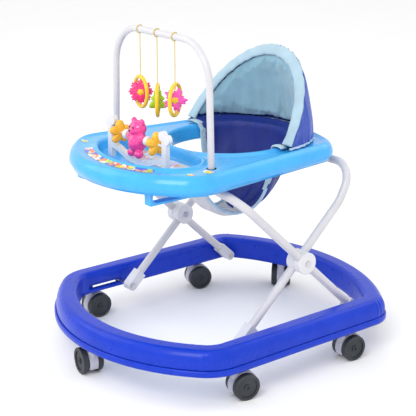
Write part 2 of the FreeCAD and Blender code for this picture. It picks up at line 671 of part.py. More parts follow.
def console_post(side):
    """Upright of the console with a two-lobed top."""
    x = side * size("consoleHalf")
    y = -size("consoleY")
    height = size("consoleTop") - floorTop
    post = Part.makeBox(size("postWidth"), size("postDepth"), height - 12,
                        Vec(x - postR, y - size("postDepth") / 2, floorTop))
    lobes = [Part.makeCylinder(9, size("postDepth"), Vec(x + shift, y - size("postDepth") / 2, size("consoleTop") - 12 + rise),
                               Vec(0, 1, 0)) for shift, rise in ((-7 * side, 2), (6 * side, -3))]
    return post.fuse(lobes)


def wavy_rail():
    """Lower rail: a bar whose middle sags in a smooth wave, foot to foot."""
    y = -size("consoleY") - size("postDepth") / 2
    reach = size("consoleHalf")
    drop = [(-reach, 27), (-reach * 0.72, 24), (-reach * 0.36, 7), (0, 2), (reach * 0.36, 7), (reach * 0.72, 24), (reach, 27)]
    upper = [Vec(x, y, floorTop + 11 + z * 0.6) for x, z in drop]
    lower = [Vec(x, y, floorTop + z * 0.6) for x, z in drop]
    top, bottom = Part.BSplineCurve(), Part.BSplineCurve()
    top.interpolate(upper)
    bottom.interpolate(lower)
    sides = [Part.LineSegment(lower[0], upper[0]).toShape(), Part.LineSegment(lower[-1], upper[-1]).toShape()]
    outline = Part.Wire(Part.sortEdges([top.toShape(), bottom.toShape()] + sides)[0])
    return Part.Face(outline).extrude(Vec(0, size("postDepth"), 0))


rodR = size("rodDiameter") / 2
rodStart = Vec(-size("consoleHalf") - 3, -size("consoleY"), size("rodHeight"))
rodSolid = Part.makeCylinder(rodR, 2 * size("consoleHalf") + 6, rodStart, Vec(1, 0, 0))
console = console_post(1).fuse([console_post(-1), wavy_rail()]).cut(rodSolid)
node(feature("console", console), "console_frame")
node(cylinder("rod", "x", Radius="#rodDiameter / 2", Height="2 * #consoleHalf + 6", x="-#consoleHalf - 3",
              y="-#consoleY", z="#rodHeight"), "console_rod")
spinHole = Part.makeCylinder(rodR + size("runFit"), 400, Vec(-200, -size("consoleY"), size("rodHeight")), Vec(1, 0, 0))


def star(side):
    """Five round lobes about a hub, threaded on the rod."""
    x = side * size("starX") - size("starThickness") / 2
    centre = Vec(x, -size("consoleY"), size("rodHeight"))
    along = Vec(1, 0, 0)
    lobe = size("starDiameter") * 0.19
    reach = size("starDiameter") / 2 - lobe
    body = Part.makeCylinder(reach, size("starThickness"), centre, along)
    lobes = []
    for i in range(5):
        angle = math.radians(90 + 72 * i)
        shift = Vec(0, math.cos(angle) * reach, math.sin(angle) * reach)
        lobes.append(Part.makeCylinder(lobe, size("starThickness"), centre + shift, along))
    return body.fuse(lobes).cut(spinHole)


node(feature("starLeft", star(1)), "star_left")
node(feature("starRight", star(-1)), "star_right")


def ball(x, y, z, radius):
    return Part.makeSphere(radius, Vec(x, y, z))


def bear():
    """Chubby bear figure: head, ears, body, arms and feet, threaded on the rod through its chest."""
    y, z, tall = -size("consoleY"), size("rodHeight"), size("bearHeight")
    parts = [ball(0, y, z + tall * 0.26, tall * 0.19), ball(-tall * 0.14, y, z + tall * 0.42, tall * 0.075),
             ball(tall * 0.14, y, z + tall * 0.42, tall * 0.075), ball(-tall * 0.21, y, z + tall * 0.04, tall * 0.1),
             ball(tall * 0.21, y, z + tall * 0.04, tall * 0.1), ball(-tall * 0.15, y, z - tall * 0.37, tall * 0.12),
             ball(tall * 0.15, y, z - tall * 0.37, tall * 0.12)]
    return ball(0, y, z - tall * 0.1, tall * 0.25).fuse(parts).cut(spinHole)


node(feature("bear", bear()), "bear")


def spool(side):
    name = "spool%s" % ("Left" if side > 0 else "Right")
    body = cylinder(name + "Body", "x", Radius=9, Height=10, x="%d * #spoolX - 5" % side, y="-#consoleY", z="#rodHeight")
    bore = cylinder(name + "Bore", "x", Radius="#rodDiameter / 2", Height=20, x="%d * #spoolX - 10" % side,
                    y="-#consoleY", z="#rodHeight")
    return cut(name, body, bore)


node(group("spools", spool(1), spool(-1)), "console_spools")

# ---------------------------------------------------------------- hanging toys
# Each toy hangs from a loop round the arch bar; drops and resting turns differ a little.
toys = [("right", -1, 78, -11), ("middle", 0, 85, -39), ("left", 1, 75, -57)]
stringR = size("stringDiameter") / 2
ringR = size("toyRingDiameter") / 2
sectionR = size("toyRingSection") / 2
toyPinR = 1.2
loopR = archR + stringR + size("gap")


def toy_string(drop):
    """Loop round the bar and the straight fall to the toy, about the bar's centre line."""
    loop = Part.makeTorus(loopR, stringR, Vec(0, 0, 0), Vec(1, 0, 0))
    fall = Part.makeCylinder(stringR, drop, Vec(0, 0, -loopR - drop))
    return loop.fuse(fall)


def toy_ring():
    """Round hoop with a short pin inside at the top and at the bottom."""
    hoop = Part.makeTorus(ringR - sectionR, sectionR, Vec(0, 0, 0), Vec(0, 1, 0))
    pins = [Part.makeCylinder(toyPinR, 9, Vec(0, 0, low)) for low in (ringR - 14, 5 - ringR)]
    return hoop.fuse(pins)


def toy_figure():
    """Small rounded figure bored for the two pins it spins on."""
    spine = ringR - 10.5
    parts = [ball(0, 0, 8, 8.5), Part.makeCylinder(3.2, 2 * spine, Vec(0, 0, -spine))]
    for side in (1, -1):
        parts.append(ball(9 * side, 0, 2, 5.5))
        parts.append(ball(6 * side, 0, -14, 6))
    body = ball(0, 0, -4, 10).fuse(parts)
    return body.cut(Part.makeCylinder(toyPinR + size("runFit"), 2 * ringR, Vec(0, 0, -ringR)))


for place, step, drop, turn in toys:
    bar = Vec(step * size("toySpacing") - size("toyShift"), -size("archY"), size("archTop"))
    middle = bar - Vec(0, 0, loopR + drop + ringR)
    facing = FreeCAD.Placement(middle, FreeCAD.Rotation(Vec(0, 0, 1), turn))
    node(feature("string_" + place, toy_string(drop), FreeCAD.Placement(bar, FreeCAD.Rotation())),
         "toy_string_" + place)
    node(feature("ring_" + place, toy_ring(), facing), "toy_ring_" + place)
    node(feature("figure_" + place, toy_figure(), facing), "toy_figure_" + place)
    print("toy", place, "bar", bar, "middle", middle)

# ---------------------------------------------------------------- seat
seatZ = trayTop + size("gap")


def ellipsoid(name, rx, ry, rz, x, y, z):
    obj = doc.addObject("Part::Ellipsoid", name)
    obj.Angle1 = -90
    return bind(obj, Radius1=rz, Radius2=rx, Radius3=ry, x=x, y=y, z=z)


seatBase = "#trayBottom + #trayHeight + #gap"
backOuter = ellipsoid("backOuter", "#backHalf", "#backDepth", "#backRise", 0, "#backY", seatBase)
backInner = ellipsoid("backInner", "#backHalf - #backPad", "#backDepth - #backPad", "#backRise - #backPad", 0,
                      "#backY", seatBase)
leanAngle = math.degrees(math.atan2(size("hoopLean"), size("backRise")))
behind = turned(box("behindHoop", Length=500, Width=400, Height=500, x=-250, y="#backY", z=seatBase), (1, 0, 0), -leanAngle)
above = box("aboveTray", Length=500, Width=500, Height=400, x=-250, y=-100, z=seatBase)
doc.recompute()
backShell = common("backShell", cut("backHollow", backOuter, backInner), behind, above)
hoopRise = 1 / math.sqrt((math.sin(math.radians(leanAngle)) / (size("backDepth") - size("backPad") / 2)) ** 2
                         + (math.cos(math.radians(leanAngle)) / (size("backRise") - size("backPad") / 2)) ** 2)
hoopNormal = Vec(0, math.cos(math.radians(leanAngle)), -math.sin(math.radians(leanAngle)))
hoopUp = Vec(0, math.sin(math.radians(leanAngle)), math.cos(math.radians(leanAngle)))
hoopCentre = Vec(0, size("backY"), seatZ) + hoopNormal * (size("hoopDiameter") / 2 + 2)
hoopHalf = size("backHalf") - size("backPad") / 2
hoopAngles = [math.radians(4 + 172 * i / 16) for i in range(17)]
hoopCurve = Part.BSplineCurve()
hoopCurve.interpolate([hoopCentre + Vec(hoopHalf * math.cos(a), 0, 0) + hoopUp * (hoopRise * math.sin(a))
                       for a in hoopAngles])
hoopArc = Part.Wire([hoopCurve.toShape()])
hoopBar = swept(hoopArc, size("hoopDiameter") / 2)
doc.recompute()
node(feature("backrest", backShell.Shape.cut(hoopBar)), "seat_backrest")
node(feature("hoop", hoopBar), "seat_hoop")
padOuter = ellipsoid("padOuter", "#backHalf - #backPad - #gap", "#backDepth - #backPad - #gap",
                     "#backRise - #backPad - #gap", 0, "#backY", seatBase)
padInner = ellipsoid("padInner", "#backHalf - #backPad - #linerPad", "#backDepth - #backPad - #linerPad",
                     "#backRise - #backPad - #linerPad", 0, "#backY", seatBase)
padRear = turned(box("padBehind", Length=500, Width=400, Height=500, x=-250, y="#backY + 8", z=seatBase),
                 (1, 0, 0), -leanAngle)
padUp = box("padAbove", Length=500, Width=500, Height=400, x=-250, y=-100, z=seatBase + " + #linerLift")
node(common("liner", cut("linerHollow", padOuter, padInner), padRear, padUp), "backrest_liner")

slingMid = "(#seatHoleRear - #seatHoleFront) / 2"
slingTop = "#trayBottom + #trayHeight - 6"
slingOuter = ellipsoid("slingOuter", "#slingHalf", "#slingDepth", "#slingDrop", 0, slingMid, slingTop)
slingInner = ellipsoid("slingInner", "#slingHalf - #slingWall", "#slingDepth - #slingWall",
                       "#slingDrop - #slingWall", 0, slingMid, slingTop)
slingBelow = box("slingBelow", Length=400, Width=400, Height=300, x=-200, y=-200, z=slingTop + " - 300")
slingShell = common("slingShell", cut("slingHollow", slingOuter, slingInner), slingBelow)


def leg_holes(name):
    """Two leg openings that leave only the middle strap of the sling's front half."""
    return fuse(name, *[
        box(name + word, Length=200, Width=300, Height=300, x=start, y=slingMid + " + #legHoleRear - 300",
            z=slingTop + " - 299")
        for word, start in (("Left", "#crotchHalf"), ("Right", "-#crotchHalf - 200"))])


slingCut = cut("slingOpen", slingShell, leg_holes("legHoles"))
crotchFloor = slingTop + " - #slingDrop - 1"
crotchBox = box("crotchBox", Length="2 * #crotchHalf", Width="150 + #crotchRear", Height="#slingDrop + 1",
                x="-#crotchHalf", y=slingMid + " - 150", z=crotchFloor)
node(cut("sling", slingCut, crotchBox), "seat_sling")
crotchKeep = box("crotchKeep", Length="2 * (#crotchHalf - #clothGap)", Width="150 + #crotchRear - #clothGap",
                 Height="#slingDrop + 1", x="#clothGap - #crotchHalf", y=slingMid + " - 150", z=crotchFloor)
crotchShell = cut("crotchShell", slingShell, leg_holes("crotchHoles"))
node(common("crotch", crotchShell, crotchKeep), "crotch_panel")

# ---------------------------------------------------------------- check and write
doc.recompute()
for obj in doc.Objects:
    if "Invalid" in obj.State or "Error" in obj.State:
        raise RuntimeError("feature failed: " + obj.Name)
for obj in nodes:
    shape = obj.Shape
    if shape.isNull() or not shape.isValid() or not shape.Solids:
        raise RuntimeError("bad shape: " + obj.Label)
for obj in nodes:
    obj.Shape.exportStep(os.path.join("parts", obj.Label + ".step"))
box_all = Part.makeCompound([obj.Shape for obj in nodes]).BoundBox
print("nodes", len(nodes), "box", box_all)
print("outer top bar y %.2f, folded slope %.3f deg, rest slope %.3f deg" % (
    outerTopY, math.degrees(foldedSlope), math.degrees(slope)))
print("bar travel under tray %.1f" % barTravel)
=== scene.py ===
import math

import bmesh
import bpy
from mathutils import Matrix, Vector
import numpy as np


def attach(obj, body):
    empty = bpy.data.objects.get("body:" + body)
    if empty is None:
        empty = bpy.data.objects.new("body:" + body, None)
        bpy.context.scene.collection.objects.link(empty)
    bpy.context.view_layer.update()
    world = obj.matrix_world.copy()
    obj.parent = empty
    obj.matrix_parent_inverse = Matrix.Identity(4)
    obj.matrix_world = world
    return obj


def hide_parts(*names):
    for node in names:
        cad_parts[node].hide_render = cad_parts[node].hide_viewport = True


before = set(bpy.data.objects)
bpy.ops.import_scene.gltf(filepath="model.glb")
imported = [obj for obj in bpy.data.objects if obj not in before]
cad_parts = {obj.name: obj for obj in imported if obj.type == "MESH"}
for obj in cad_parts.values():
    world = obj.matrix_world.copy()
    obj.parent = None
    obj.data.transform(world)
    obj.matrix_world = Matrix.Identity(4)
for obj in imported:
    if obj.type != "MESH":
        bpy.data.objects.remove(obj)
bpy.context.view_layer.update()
print("frame loaded,", len(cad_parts), "nodes")

# Shapes are worked out in millimetres: +X the child's left, -Y the front, +Z up.
mm = 0.001
turn = 2 * np.pi


# ---- mesh helpers

# quad (r, c) joins rows r, r+1 and columns c, c+1 of a rows x cols grid, modulo the size where it wraps
def gridQuads(rows, cols, wrapRows=False, wrapCols=False, keep=None):
    r, c = np.meshgrid(np.arange(rows if wrapRows else rows - 1),
                       np.arange(cols if wrapCols else cols - 1), indexing="ij")
    rNext, cNext = (r + 1) % rows, (c + 1) % cols
    quads = np.stack([r * cols + c, r * cols + cNext, rNext * cols + cNext, rNext * cols + c], -1)
    return (quads if keep is None else quads[keep[r, c]]).reshape(-1, 4)


def addMesh(name, points, faces, body, look):
    mesh = bpy.data.meshes.new(name)
    points, faces = np.asarray(points, float).reshape(-1, 3), np.asarray(faces, np.int32)
    corners = faces.shape[1]
    mesh.vertices.add(len(points))
    mesh.vertices.foreach_set("co", (points * mm).astype(np.float32).ravel())
    mesh.loops.add(faces.size)
    mesh.loops.foreach_set("vertex_index", faces.ravel())
    mesh.polygons.add(len(faces))
    mesh.polygons.foreach_set("loop_start", np.arange(0, faces.size, corners, dtype=np.int32))
    mesh.polygons.foreach_set("use_smooth", np.ones(len(faces), bool))
    mesh.update(calc_edges=True)
    piece = bpy.data.objects.new(name, mesh)
    bpy.context.scene.collection.objects.link(piece)
    mesh.materials.append(look)
    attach(piece, body)
    return piece


# welds points that share a place and turns a closed shell's faces outwards
def closeShell(piece, outward=True):
    work = bmesh.new()
    work.from_mesh(piece.data)
    bmesh.ops.remove_doubles(work, verts=work.verts, dist=2e-6)
    bmesh.ops.dissolve_degenerate(work, dist=1e-7, edges=work.edges)
    if outward:
        bmesh.ops.recalc_face_normals(work, faces=work.faces)
    work.to_mesh(piece.data)
    work.free()
    piece.data.polygons.foreach_set("use_smooth", np.ones(len(piece.data.polygons), bool))
    return piece


def gridPiece(name, points, body, look, wrapRows=False, wrapCols=False, keep=None,
              weld=False, flip=False):
    rows, cols = points.shape[:2]
    quads = gridQuads(rows, cols, wrapRows, wrapCols, keep)
    piece = addMesh(name, points, quads[:, ::-1] if flip else quads, body, look)
    return closeShell(piece) if weld else piece


def thicken(piece, wall, offset=-1.0):
    made = piece.modifiers.new("wall", "SOLIDIFY")
    made.thickness, made.offset = wall * mm, offset
    made.use_even_offset = True
    return piece


def roundOff(piece, levels=1):
    made = piece.modifiers.new("round", "SUBSURF")
    made.levels = made.render_levels = levels
    return piece


# tube along a path: centre + radius * (cos, sin) in the plane square to the path, side steps from a fixed reference
def tubeGrid(path, radius, sides=16, reference=(0, 0, 1), closed=False):
    path = np.asarray(path, float)
    ahead = np.roll(path, -1, 0) - np.roll(path, 1, 0) if closed else np.gradient(path, axis=0)
    ahead /= np.linalg.norm(ahead, axis=1, keepdims=True)
    side = np.cross(ahead, np.asarray(reference, float))
    side /= np.linalg.norm(side, axis=1, keepdims=True)
    up = np.cross(side, ahead)
    angle = np.linspace(0, turn, sides, endpoint=False)
    radius = np.broadcast_to(np.asarray(radius, float), (len(path),))
    ring = side[:, None] * np.cos(angle)[None, :, None] + up[:, None] * np.sin(angle)[None, :, None]
    return path[:, None] + ring * radius[:, None, None]


# open tube with ends closed by a last ring of no size
def tubePiece(name, path, radius, body, look, sides=16, reference=(0, 0, 1), closed=False):
    points = tubeGrid(path, radius, sides, reference, closed)
    if not closed:
        first, last = points[:1].mean(1, keepdims=True), points[-1:].mean(1, keepdims=True)
        points = np.concatenate([np.repeat(first, sides, 1), points, np.repeat(last, sides, 1)])
    return gridPiece(name, points, body, look, wrapRows=closed, wrapCols=True, weld=True)


# distance blend: 0 below the low edge, 1 above the high edge, smooth between
def ease(value, low, high):
    share = np.clip((value - low) / (high - low), 0, 1)
    return share * share * (3 - 2 * share)


# sum of sines with seeded phases, about -1 to 1, for cloth and skin that is never quite even
def ripple(u, v, count, widest, narrowest, seed):
    draw = np.random.default_rng(seed)
    total = np.zeros(np.broadcast(u, v).shape)
    for number in range(count):
        heading, phase = draw.uniform(0, turn, 2)
        wave = turn / draw.uniform(narrowest, widest)
        total += np.sin(wave * (u * math.cos(heading) + v * math.sin(heading)) + phase)
    return total / math.sqrt(count)


# Closed outline from the front middle by the child's left to the rear middle and back. Each run is
# centre + radius * (cos, sin) of the direction it faces, the side runs are straight, and the half is mirrored.
# It gives points, outward directions and the direction each half point faces, so an inset moves a point inward.
def outlineRun(o, step):
    frontMid, rearMid = o["frontBulge"] - o["front"], o["rear"] - o["rearBulge"]
    frontX, rearX = o["halfFront"] - o["frontCorner"], o["halfRear"] - o["rearCorner"]
    frontY = frontMid - math.sqrt((o["frontBulge"] - o["frontCorner"]) ** 2 - frontX ** 2)
    rearY = rearMid + math.sqrt((o["rearBulge"] - o["rearCorner"]) ** 2 - rearX ** 2)
    span = math.hypot(rearX - frontX, rearY - frontY)
    side = (math.atan2(rearY - frontY, rearX - frontX) - math.pi / 2
            - math.asin((o["rearCorner"] - o["frontCorner"]) / span))
    frontTurn = math.atan2(frontY - frontMid, frontX)
    rearTurn = math.atan2(rearY - rearMid, rearX)
    runs = [((0, frontMid), o["frontBulge"], -math.pi / 2, frontTurn),
            ((frontX, frontY), o["frontCorner"], frontTurn, side),
            ((rearX, rearY), o["rearCorner"], side, rearTurn),
            ((0, rearMid), o["rearBulge"], rearTurn, math.pi / 2)]
    places, faces = [], []
    for centre, radius, start, stop in runs:
        count = max(4, int(abs(stop - start) * radius / step))
        angle = np.linspace(start, stop, count, endpoint=False)
        places.append(np.asarray(centre) + radius * np.stack([np.cos(angle), np.sin(angle)], -1))
        faces.append(angle)
        if centre == (frontX, frontY):
            outward = np.array([math.cos(side), math.sin(side)])
            a = np.asarray(centre) + o["frontCorner"] * outward
            b = np.array([rearX, rearY]) + o["rearCorner"] * outward
            share = np.linspace(0, 1, max(4, int(span / step)), endpoint=False)[:, None]
            places.append(a + (b - a) * share)
            faces.append(np.full(len(share), side))
    half = np.concatenate(places + [[[0, o["rear"]]]])
    facing = np.concatenate(faces + [[math.pi / 2]])
    points = np.concatenate([half, half[-2:0:-1] * [-1, 1]])
    facing = np.concatenate([facing, facing[-2:0:-1]])
    sign = np.ones(len(points))
    sign[len(half):] = -1
    normal = np.stack([np.cos(facing) * sign, np.sin(facing)], -1)
    return points, normal, facing, (frontTurn, side, rearTurn)


# ---- looks

def addNode(tree, kind, sockets=None, **settings):
    made = tree.nodes.new(kind)
    for key, value in settings.items():
        setattr(made, key, value)
    for key, value in (sockets or {}).items():
        made.inputs[key].default_value = value
    return made


def newLook(name, **sockets):
    look = bpy.data.materials.new(name)
    look.use_nodes = True
    shader = look.node_tree.nodes["Principled BSDF"]
    for key, value in sockets.items():
        shader.inputs[key].default_value = value
    return look, look.node_tree, shader


# noise of a given size in millimetres on the piece's own coordinates
def noiseOf(tree, size, detail=3.0, roughness=0.5, source=None, stretch=None):
    if source is None:
        source = tree.nodes.get("place") or addNode(tree, "ShaderNodeTexCoord", name="place")
        source = source.outputs["Object"]
    if stretch:
        bend = addNode(tree, "ShaderNodeMapping", {"Scale": stretch})
        tree.links.new(source, bend.inputs["Vector"])
        source = bend.outputs["Vector"]
    made = addNode(tree, "ShaderNodeTexNoise", {"Scale": 1 / (size * mm), "Detail": detail, "Roughness": roughness})
    tree.links.new(source, made.inputs["Vector"])
    return made.outputs["Fac"]


# two to four colour stops along a value
def colourRamp(tree, value, stops):
    ramp = addNode(tree, "ShaderNodeValToRGB")
    marks = ramp.color_ramp.elements
    while len(marks) < len(stops):
        marks.new(0.5)
    for mark, (place, colour) in zip(marks, stops):
        mark.position, mark.color = place, (*colour, 1)
    tree.links.new(value, ramp.inputs["Fac"])
    return ramp.outputs["Color"]


def spread(tree, value, low, high, fromLow=0.3, fromHigh=0.7):
    made = addNode(tree, "ShaderNodeMapRange",
                   {"From Min": fromLow, "From Max": fromHigh, "To Min": low, "To Max": high})
    tree.links.new(value, made.inputs["Value"])
    return made.outputs["Result"]


def addBump(tree, shader, height, distance, strength=1.0, under=None):
    made = addNode(tree, "ShaderNodeBump", {"Strength": strength, "Distance": distance * mm})
    tree.links.new(height, made.inputs["Height"])
    if under:
        tree.links.new(under, made.inputs["Normal"])
    tree.links.new(made.outputs["Normal"], shader.inputs["Normal"])
    return made.outputs["Normal"]


# moulded plastic or paint: tone drifts slowly, roughness changes in patches, the skin has a fine orange peel
# and a few rubbed streaks
def mouldedLook(name, colour, roughness=0.28, drift=0.06, peel=0.03, peelSize=2.2, patch=30, rub=0.05, **sockets):
    look, tree, shader = newLook(name, **sockets)
    base = np.asarray(colour, float)
    tone = noiseOf(tree, patch, 4)
    darker, lighter = base * (1 - drift), np.minimum(base * (1 + drift) + 0.004, 1)
    colourOut = colourRamp(tree, tone, [(0.3, darker), (0.7, lighter)])
    tree.links.new(colourOut, shader.inputs["Base Color"])
    rubbed = noiseOf(tree, patch * 0.5, 6, 0.7, stretch=(1.0, 0.25, 1.0))
    tree.links.new(spread(tree, rubbed, roughness - rub, roughness + rub), shader.inputs["Roughness"])
    grain = noiseOf(tree, peelSize, 2)
    wide = noiseOf(tree, peelSize * 9, 2)
    under = addBump(tree, shader, wide, peel * 4)
    addBump(tree, shader, grain, peel, under=under)
    return look


# woven cloth: two crossing thread waves on the piece's own coordinates, tone drift and soft sheen
waveScale = 0.314


def wovenLook(name, colour, thread=0.9, roughness=0.75, depth=0.12, drift=0.1, darkest=0.72, **sockets):
    look, tree, shader = newLook(name, **sockets)
    base = np.asarray(colour, float)
    source = addNode(tree, "ShaderNodeTexCoord", name="place").outputs["Object"]
    threads = []
    for direction in ("X", "Z"):
        wave = addNode(tree, "ShaderNodeTexWave", {"Scale": waveScale / (thread * mm), "Distortion": 1.2,
                                                   "Detail": 2.0, "Detail Scale": 0.4}, bands_direction=direction)
        tree.links.new(source, wave.inputs["Vector"])
        threads.append(wave.outputs["Fac"])
    cross = addNode(tree, "ShaderNodeMath", operation="MULTIPLY")
    tree.links.new(threads[0], cross.inputs[0])
    tree.links.new(threads[1], cross.inputs[1])
    tone = noiseOf(tree, 38, 5)
    wideColour = colourRamp(tree, tone, [(0.3, base * (1 - drift)), (0.7, np.minimum(base * (1 + drift), 1))])
    shade = colourRamp(tree, cross.outputs["Value"], [(0.0, np.full(3, darkest)), (0.75, np.ones(3))])
    mix = addNode(tree, "ShaderNodeMix", data_type="RGBA", blend_type="MULTIPLY")
    mix.inputs["Factor"].default_value = 1.0
    tree.links.new(wideColour, mix.inputs["A"])
    tree.links.new(shade, mix.inputs["B"])
    tree.links.new(mix.outputs["Result"], shader.inputs["Base Color"])
    fuzz = noiseOf(tree, 6, 4)
    tree.links.new(spread(tree, fuzz, roughness - 0.08, roughness + 0.08), shader.inputs["Roughness"])
    under = addBump(tree, shader, fuzz, depth * 1.5)
    addBump(tree, shader, cross.outputs["Value"], depth, under=under)
    return look


looks = {
    "ringBlue": mouldedLook("ringBlue", (0.0006, 0.034, 0.50), 0.3, peel=0.02,
                            **{"Specular IOR Level": 0.22, "Coat Weight": 0.12, "Coat Roughness": 0.08}),
    "lugBlue": mouldedLook("lugBlue", (0.004, 0.06, 0.50), 0.34, **{"Specular IOR Level": 0.3}),
    "trayBlue": mouldedLook("trayBlue", (0.045, 0.40, 0.86), 0.24, peel=0.012,
                            **{"Specular IOR Level": 0.35, "Coat Weight": 0.25, "Coat Roughness": 0.07}),
    "whitePlastic": mouldedLook("whitePlastic", (0.70, 0.70, 0.72), 0.26, drift=0.03),
    "greyPlastic": mouldedLook("greyPlastic", (0.50, 0.50, 0.58), 0.32, drift=0.06),
    "capGrey": mouldedLook("capGrey", (0.66, 0.66, 0.70), 0.34, drift=0.04),
    "tubeWhite": mouldedLook("tubeWhite", (0.60, 0.59, 0.62), 0.3, drift=0.03, peelSize=1.4),
    "wheelBlack": mouldedLook("wheelBlack", (0.022, 0.028, 0.034), 0.55, drift=0.25, peel=0.05, peelSize=1.2),
    "amber": mouldedLook("amber", (0.95, 0.47, 0.03), 0.25,
                         **{"Subsurface Weight": 0.15, "Subsurface Radius": (0.004, 0.002, 0.001)}),
    "pink": mouldedLook("pink", (0.90, 0.045, 0.30), 0.16, **{"Coat Weight": 0.6, "Coat Roughness": 0.05}),
    "magenta": mouldedLook("magenta", (0.85, 0.022, 0.20), 0.22, **{"Coat Weight": 0.4, "Coat Roughness": 0.06}),
    "softPink": mouldedLook("softPink", (0.88, 0.07, 0.42), 0.22, **{"Coat Weight": 0.4, "Coat Roughness": 0.06}),
    "limeGreen": mouldedLook("limeGreen", (0.36, 0.55, 0.01), 0.24),
    "sunYellow": mouldedLook("sunYellow", (0.86, 0.55, 0.015), 0.22),
    "stringYellow": wovenLook("stringYellow", (0.85, 0.60, 0.06), 0.5),
    "satinBlue": wovenLook("satinBlue", (0.006, 0.050, 0.42), 0.7, 0.42, 0.05, darkest=0.86,
                           **{"Sheen Weight": 0.35, "Sheen Roughness": 0.4, "Sheen Tint": (0.4, 0.55, 1.0, 1.0)}),
    "navyCloth": wovenLook("navyCloth", (0.002, 0.020, 0.24), 0.8, 0.55, 0.06, darkest=0.8,
                           **{"Sheen Weight": 0.12, "Sheen Roughness": 0.4, "Sheen Tint": (0.3, 0.45, 1.0, 1.0)}),
    "paleTeal": wovenLook("paleTeal", (0.29, 0.52, 0.64), 1.0, 0.8, 0.12,
                          **{"Sheen Weight": 0.35, "Sheen Roughness": 0.5}),
    "hemTeal": wovenLook("hemTeal", (0.46, 0.66, 0.78), 1.0, 0.8, 0.1,
                         **{"Sheen Weight": 0.3, "Sheen Roughness": 0.5}),
    "pipingPale": wovenLook("pipingPale", (0.50, 0.70, 0.90), 0.7, 0.7, 0.08),
    "whiteNet": wovenLook("whiteNet", (0.86, 0.86, 0.90), 2.2, 0.7, 0.35, darkest=0.62),
    "steel": mouldedLook("steel", (0.60, 0.60, 0.62), 0.3, drift=0.05, **{"Metallic": 1.0}),
}

# printed film: its tint is painted on the points, with a faint grain and a glossy face
film, filmTree, filmShader = newLook("stickerPrint", **{"Coat Weight": 0.4})
painted = addNode(filmTree, "ShaderNodeAttribute", attribute_name="print")
worn = colourRamp(filmTree, noiseOf(filmTree, 9, 4), [(0.3, (0.93, 0.93, 0.93)), (0.7, (1, 1, 1))])
printed = addNode(filmTree, "ShaderNodeMix", data_type="RGBA", blend_type="MULTIPLY")
printed.inputs["Factor"].default_value = 1.0
filmTree.links.new(painted.outputs["Color"], printed.inputs["A"])
filmTree.links.new(worn, printed.inputs["B"])
filmTree.links.new(printed.outputs["Result"], filmShader.inputs["Base Color"])
filmTree.links.new(spread(filmTree, noiseOf(filmTree, 14, 3), 0.25, 0.4), filmShader.inputs["Roughness"])
looks["stickerPrint"] = film

# the finish of every CAD node that stays on show
nodeLooks = {
    "base_ring": "ringBlue", "slide_tracks": "lugBlue", "rear_hinge_brackets": "lugBlue", "rear_hinge_pins": "steel",
    "caster_sockets": "lugBlue", "outer_leg_frame": "tubeWhite", "outer_pivot_discs": "whitePlastic",
    "pivot_rivets": "steel", "rear_foot_caps": "capGrey", "inner_leg_frame": "tubeWhite",
    "inner_pivot_discs": "whitePlastic", "front_foot_caps": "capGrey", "slider_pins": "steel", "tray": "trayBlue",
    "front_slide_brackets": "trayBlue", "rear_bar_clips": "trayBlue", "toy_arch": "tubeWhite",
    "arch_sockets": "whitePlastic", "console_frame": "whitePlastic", "console_rod": "whitePlastic",
    "console_spools": "whitePlastic", "star_left": "amber", "star_right": "amber", "bear": "pink",
    "seat_backrest": "satinBlue", "backrest_liner": "paleTeal", "seat_hoop": "steel", "seat_sling": "navyCloth",
    "crotch_panel": "whiteNet",
}
for place in ("right", "middle", "left"):
    nodeLooks["toy_string_" + place] = "stringYellow"
    nodeLooks["toy_ring_" + place] = "sunYellow"
    nodeLooks["toy_figure_" + place] = {"right": "magenta", "middle": "limeGreen", "left": "softPink"}[place]
for place in ("front", "front_left", "front_right", "rear_left", "rear_right", "back_left", "back_right"):
    nodeLooks["caster_fork_" + place] = "greyPlastic"
    nodeLooks["caster_wheels_" + place] = "wheelBlack"
for name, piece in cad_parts.items():
    look = looks[nodeLooks[name]]
    piece.data.materials.clear()
    piece.data.materials.append(look)
print("looks made,", len(looks))

# ---- base ring: one hollow blow-moulded rail, open below, with a flange step and ribbed corners
baseRing = {
    "outline": {"halfFront": 262, "halfRear": 262, "front": 319, "rear": 318, "frontBulge": 340, "rearBulge": 385,
                "frontCorner": 85, "rearCorner": 60},
    "bottom": 62, "height": 42, "width": 44, "wall": 2.4, "flange": 8, "step": 4,
    "flutes": 8, "fluteDepth": 2.2, "ribs": 4, "ribHeight": 1.9, "spacing": 2.3,
    "slotStart": -166, "slotEnd": -86, "slotLow": 68.8, "slotHigh": 77.2,
}


# profile of the rail as (inset, height above the bottom): flange, step, crowned shoulder, flat inner wall
def railProfile(b):
    w, h, step, flange = b["width"], b["height"], b["step"], b["flange"]
    shoulder = np.linspace(0, math.pi / 2, 12)
    outer = np.stack([step + 14 * (1 - np.cos(shoulder)), flange + 1 + 8 + (h - flange - 9) * np.sin(shoulder)], -1)
    inner = np.stack([w - 8 + 7.6 * np.sin(shoulder), h - 10 + 10 * np.cos(shoulder)], -1)
    wallRows = np.array([[w - 0.4, b["slotHigh"] - b["bottom"]], [w - 0.2, b["slotLow"] - b["bottom"]], [w, 0.0]])
    crown = np.stack([np.linspace(outer[-1, 0], inner[0, 0], 7)[1:-1], np.full(5, float(h))], -1)
    foot = np.array([[0.6, 0.0], [0.0, 0.8], [0.0, flange - 0.8], [0.6, flange], [step - 1.2, flange + 0.2],
                     [step - 0.2, flange + 1.0], [step, flange + 3.5]])
    return np.concatenate([foot, outer, crown, inner, wallRows])


